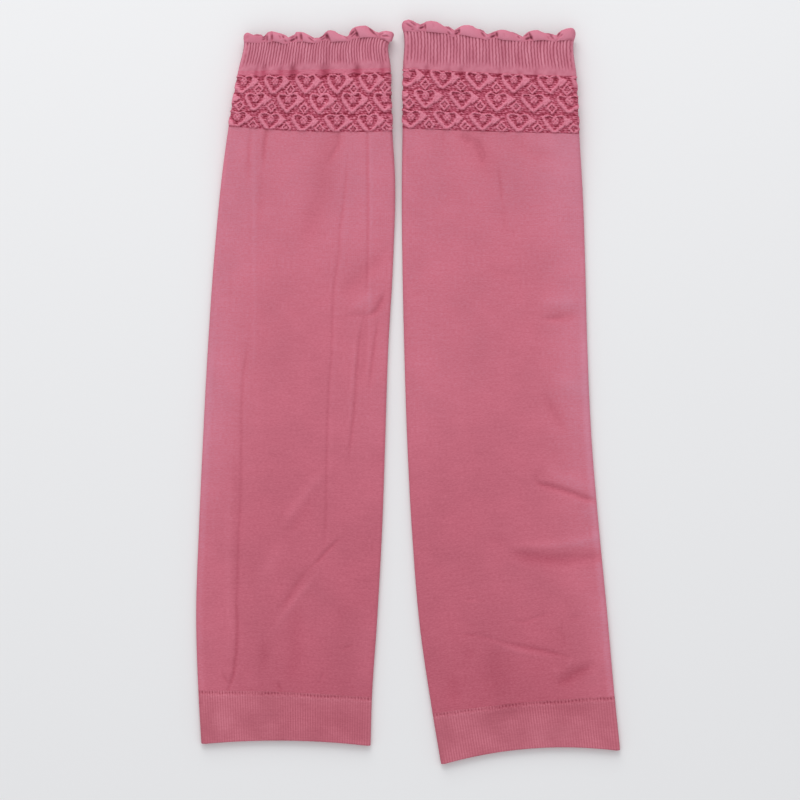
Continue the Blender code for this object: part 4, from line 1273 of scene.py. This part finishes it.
# %% Pieces and slots
SLOTS = {
    "frill": "rolled_welt_knit",
    "ribs": "ribbed_knit",
    "hearts": "heart_jacquard_knit",
    "body": "plain_jersey_knit",
    "cuff": "turned_cuff_knit",
}
PIECES = {
    "left": dict(frill=left_frill, ribs=left_ribs, hearts=left_hearts, body=left_body, cuff=left_cuff),
    "right": dict(frill=right_frill, ribs=right_ribs, hearts=right_hearts, body=right_body, cuff=right_cuff),
}
for side, stretches in PIECES.items():
    for stretch, piece in stretches.items():
        piece.data.materials.append(MATERIALS[SLOTS[stretch]])
        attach(piece, "root")
        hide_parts(side + "_" + stretch)
print("pieces in place:", sum(len(stretches) for stretches in PIECES.values()))

# %% [markdown]
# ## Table, light and camera
#
# The sleeves lie on a plain white table, under wide soft light from a little above the top of the picture.
# The camera looks straight down.

# %% The table
def add_table(size, drop):
    """A flat square just under the cloth, from its four corners."""
    half = size / 2
    corners = [(x * half, y * half, -drop) for x, y in ((-1, -1), (1, -1), (1, 1), (-1, 1))]
    mesh = bpy.data.meshes.new("table")
    mesh.from_pydata(corners, [], [(0, 1, 2, 3)])
    paper = bpy.data.materials.new("matt_white_board")
    paper.use_nodes = True
    shader = paper.node_tree.nodes["Principled BSDF"]
    shader.inputs["Base Color"].default_value = linear("efefef")
    shader.inputs["Roughness"].default_value = 0.9
    shader.inputs["Specular IOR Level"].default_value = 0.1
    mesh.materials.append(paper)
    table = bpy.data.objects.new("table", mesh)
    bpy.context.scene.collection.objects.link(table)
    return table


TABLE_SIZE = 3.0
TABLE_DROP = 0.3 * MM
table = add_table(TABLE_SIZE, TABLE_DROP)
print("table:", table.dimensions[0], "m wide")

# %% The light
scene = bpy.context.scene
scene.view_settings.view_transform = "Standard"
scene.world = bpy.data.worlds.new("studio")
scene.world.use_nodes = True
backdrop = scene.world.node_tree.nodes["Background"]
backdrop.inputs["Color"].default_value = linear("fbfcff")
backdrop.inputs["Strength"].default_value = 0.72


def add_softbox(name, place, size, power):
    """A square area light that faces the middle of the pair."""
    lamp = bpy.data.lights.new(name, "AREA")
    lamp.shape = "SQUARE"
    lamp.size = size
    lamp.energy = power
    softbox = bpy.data.objects.new(name, lamp)
    softbox.location = place
    softbox.rotation_euler = (-Vector(place)).to_track_quat("-Z", "Y").to_euler()
    scene.collection.objects.link(softbox)
    return softbox


SOFTBOX_PLACE = (-0.25, 1.5, 1.0)
SOFTBOX_SIZE = 1.4
SOFTBOX_POWER = 17.0
softbox = add_softbox("softbox_over_the_top", SOFTBOX_PLACE, SOFTBOX_SIZE, SOFTBOX_POWER)
print("softbox power:", softbox.data.energy, "W")

# %% The camera
FIELD = 448 * MM
CENTRE = (-4.5 * MM, -4.5 * MM)
HEIGHT = 3.0

lens = bpy.data.cameras.new("camera_straight_down")
lens.sensor_width = 36.0
lens.lens = lens.sensor_width * HEIGHT / FIELD
camera = bpy.data.objects.new("camera_straight_down", lens)
camera.location = (*CENTRE, HEIGHT)
scene.collection.objects.link(camera)
scene.camera = camera
print("lens:", round(lens.lens, 1), "mm")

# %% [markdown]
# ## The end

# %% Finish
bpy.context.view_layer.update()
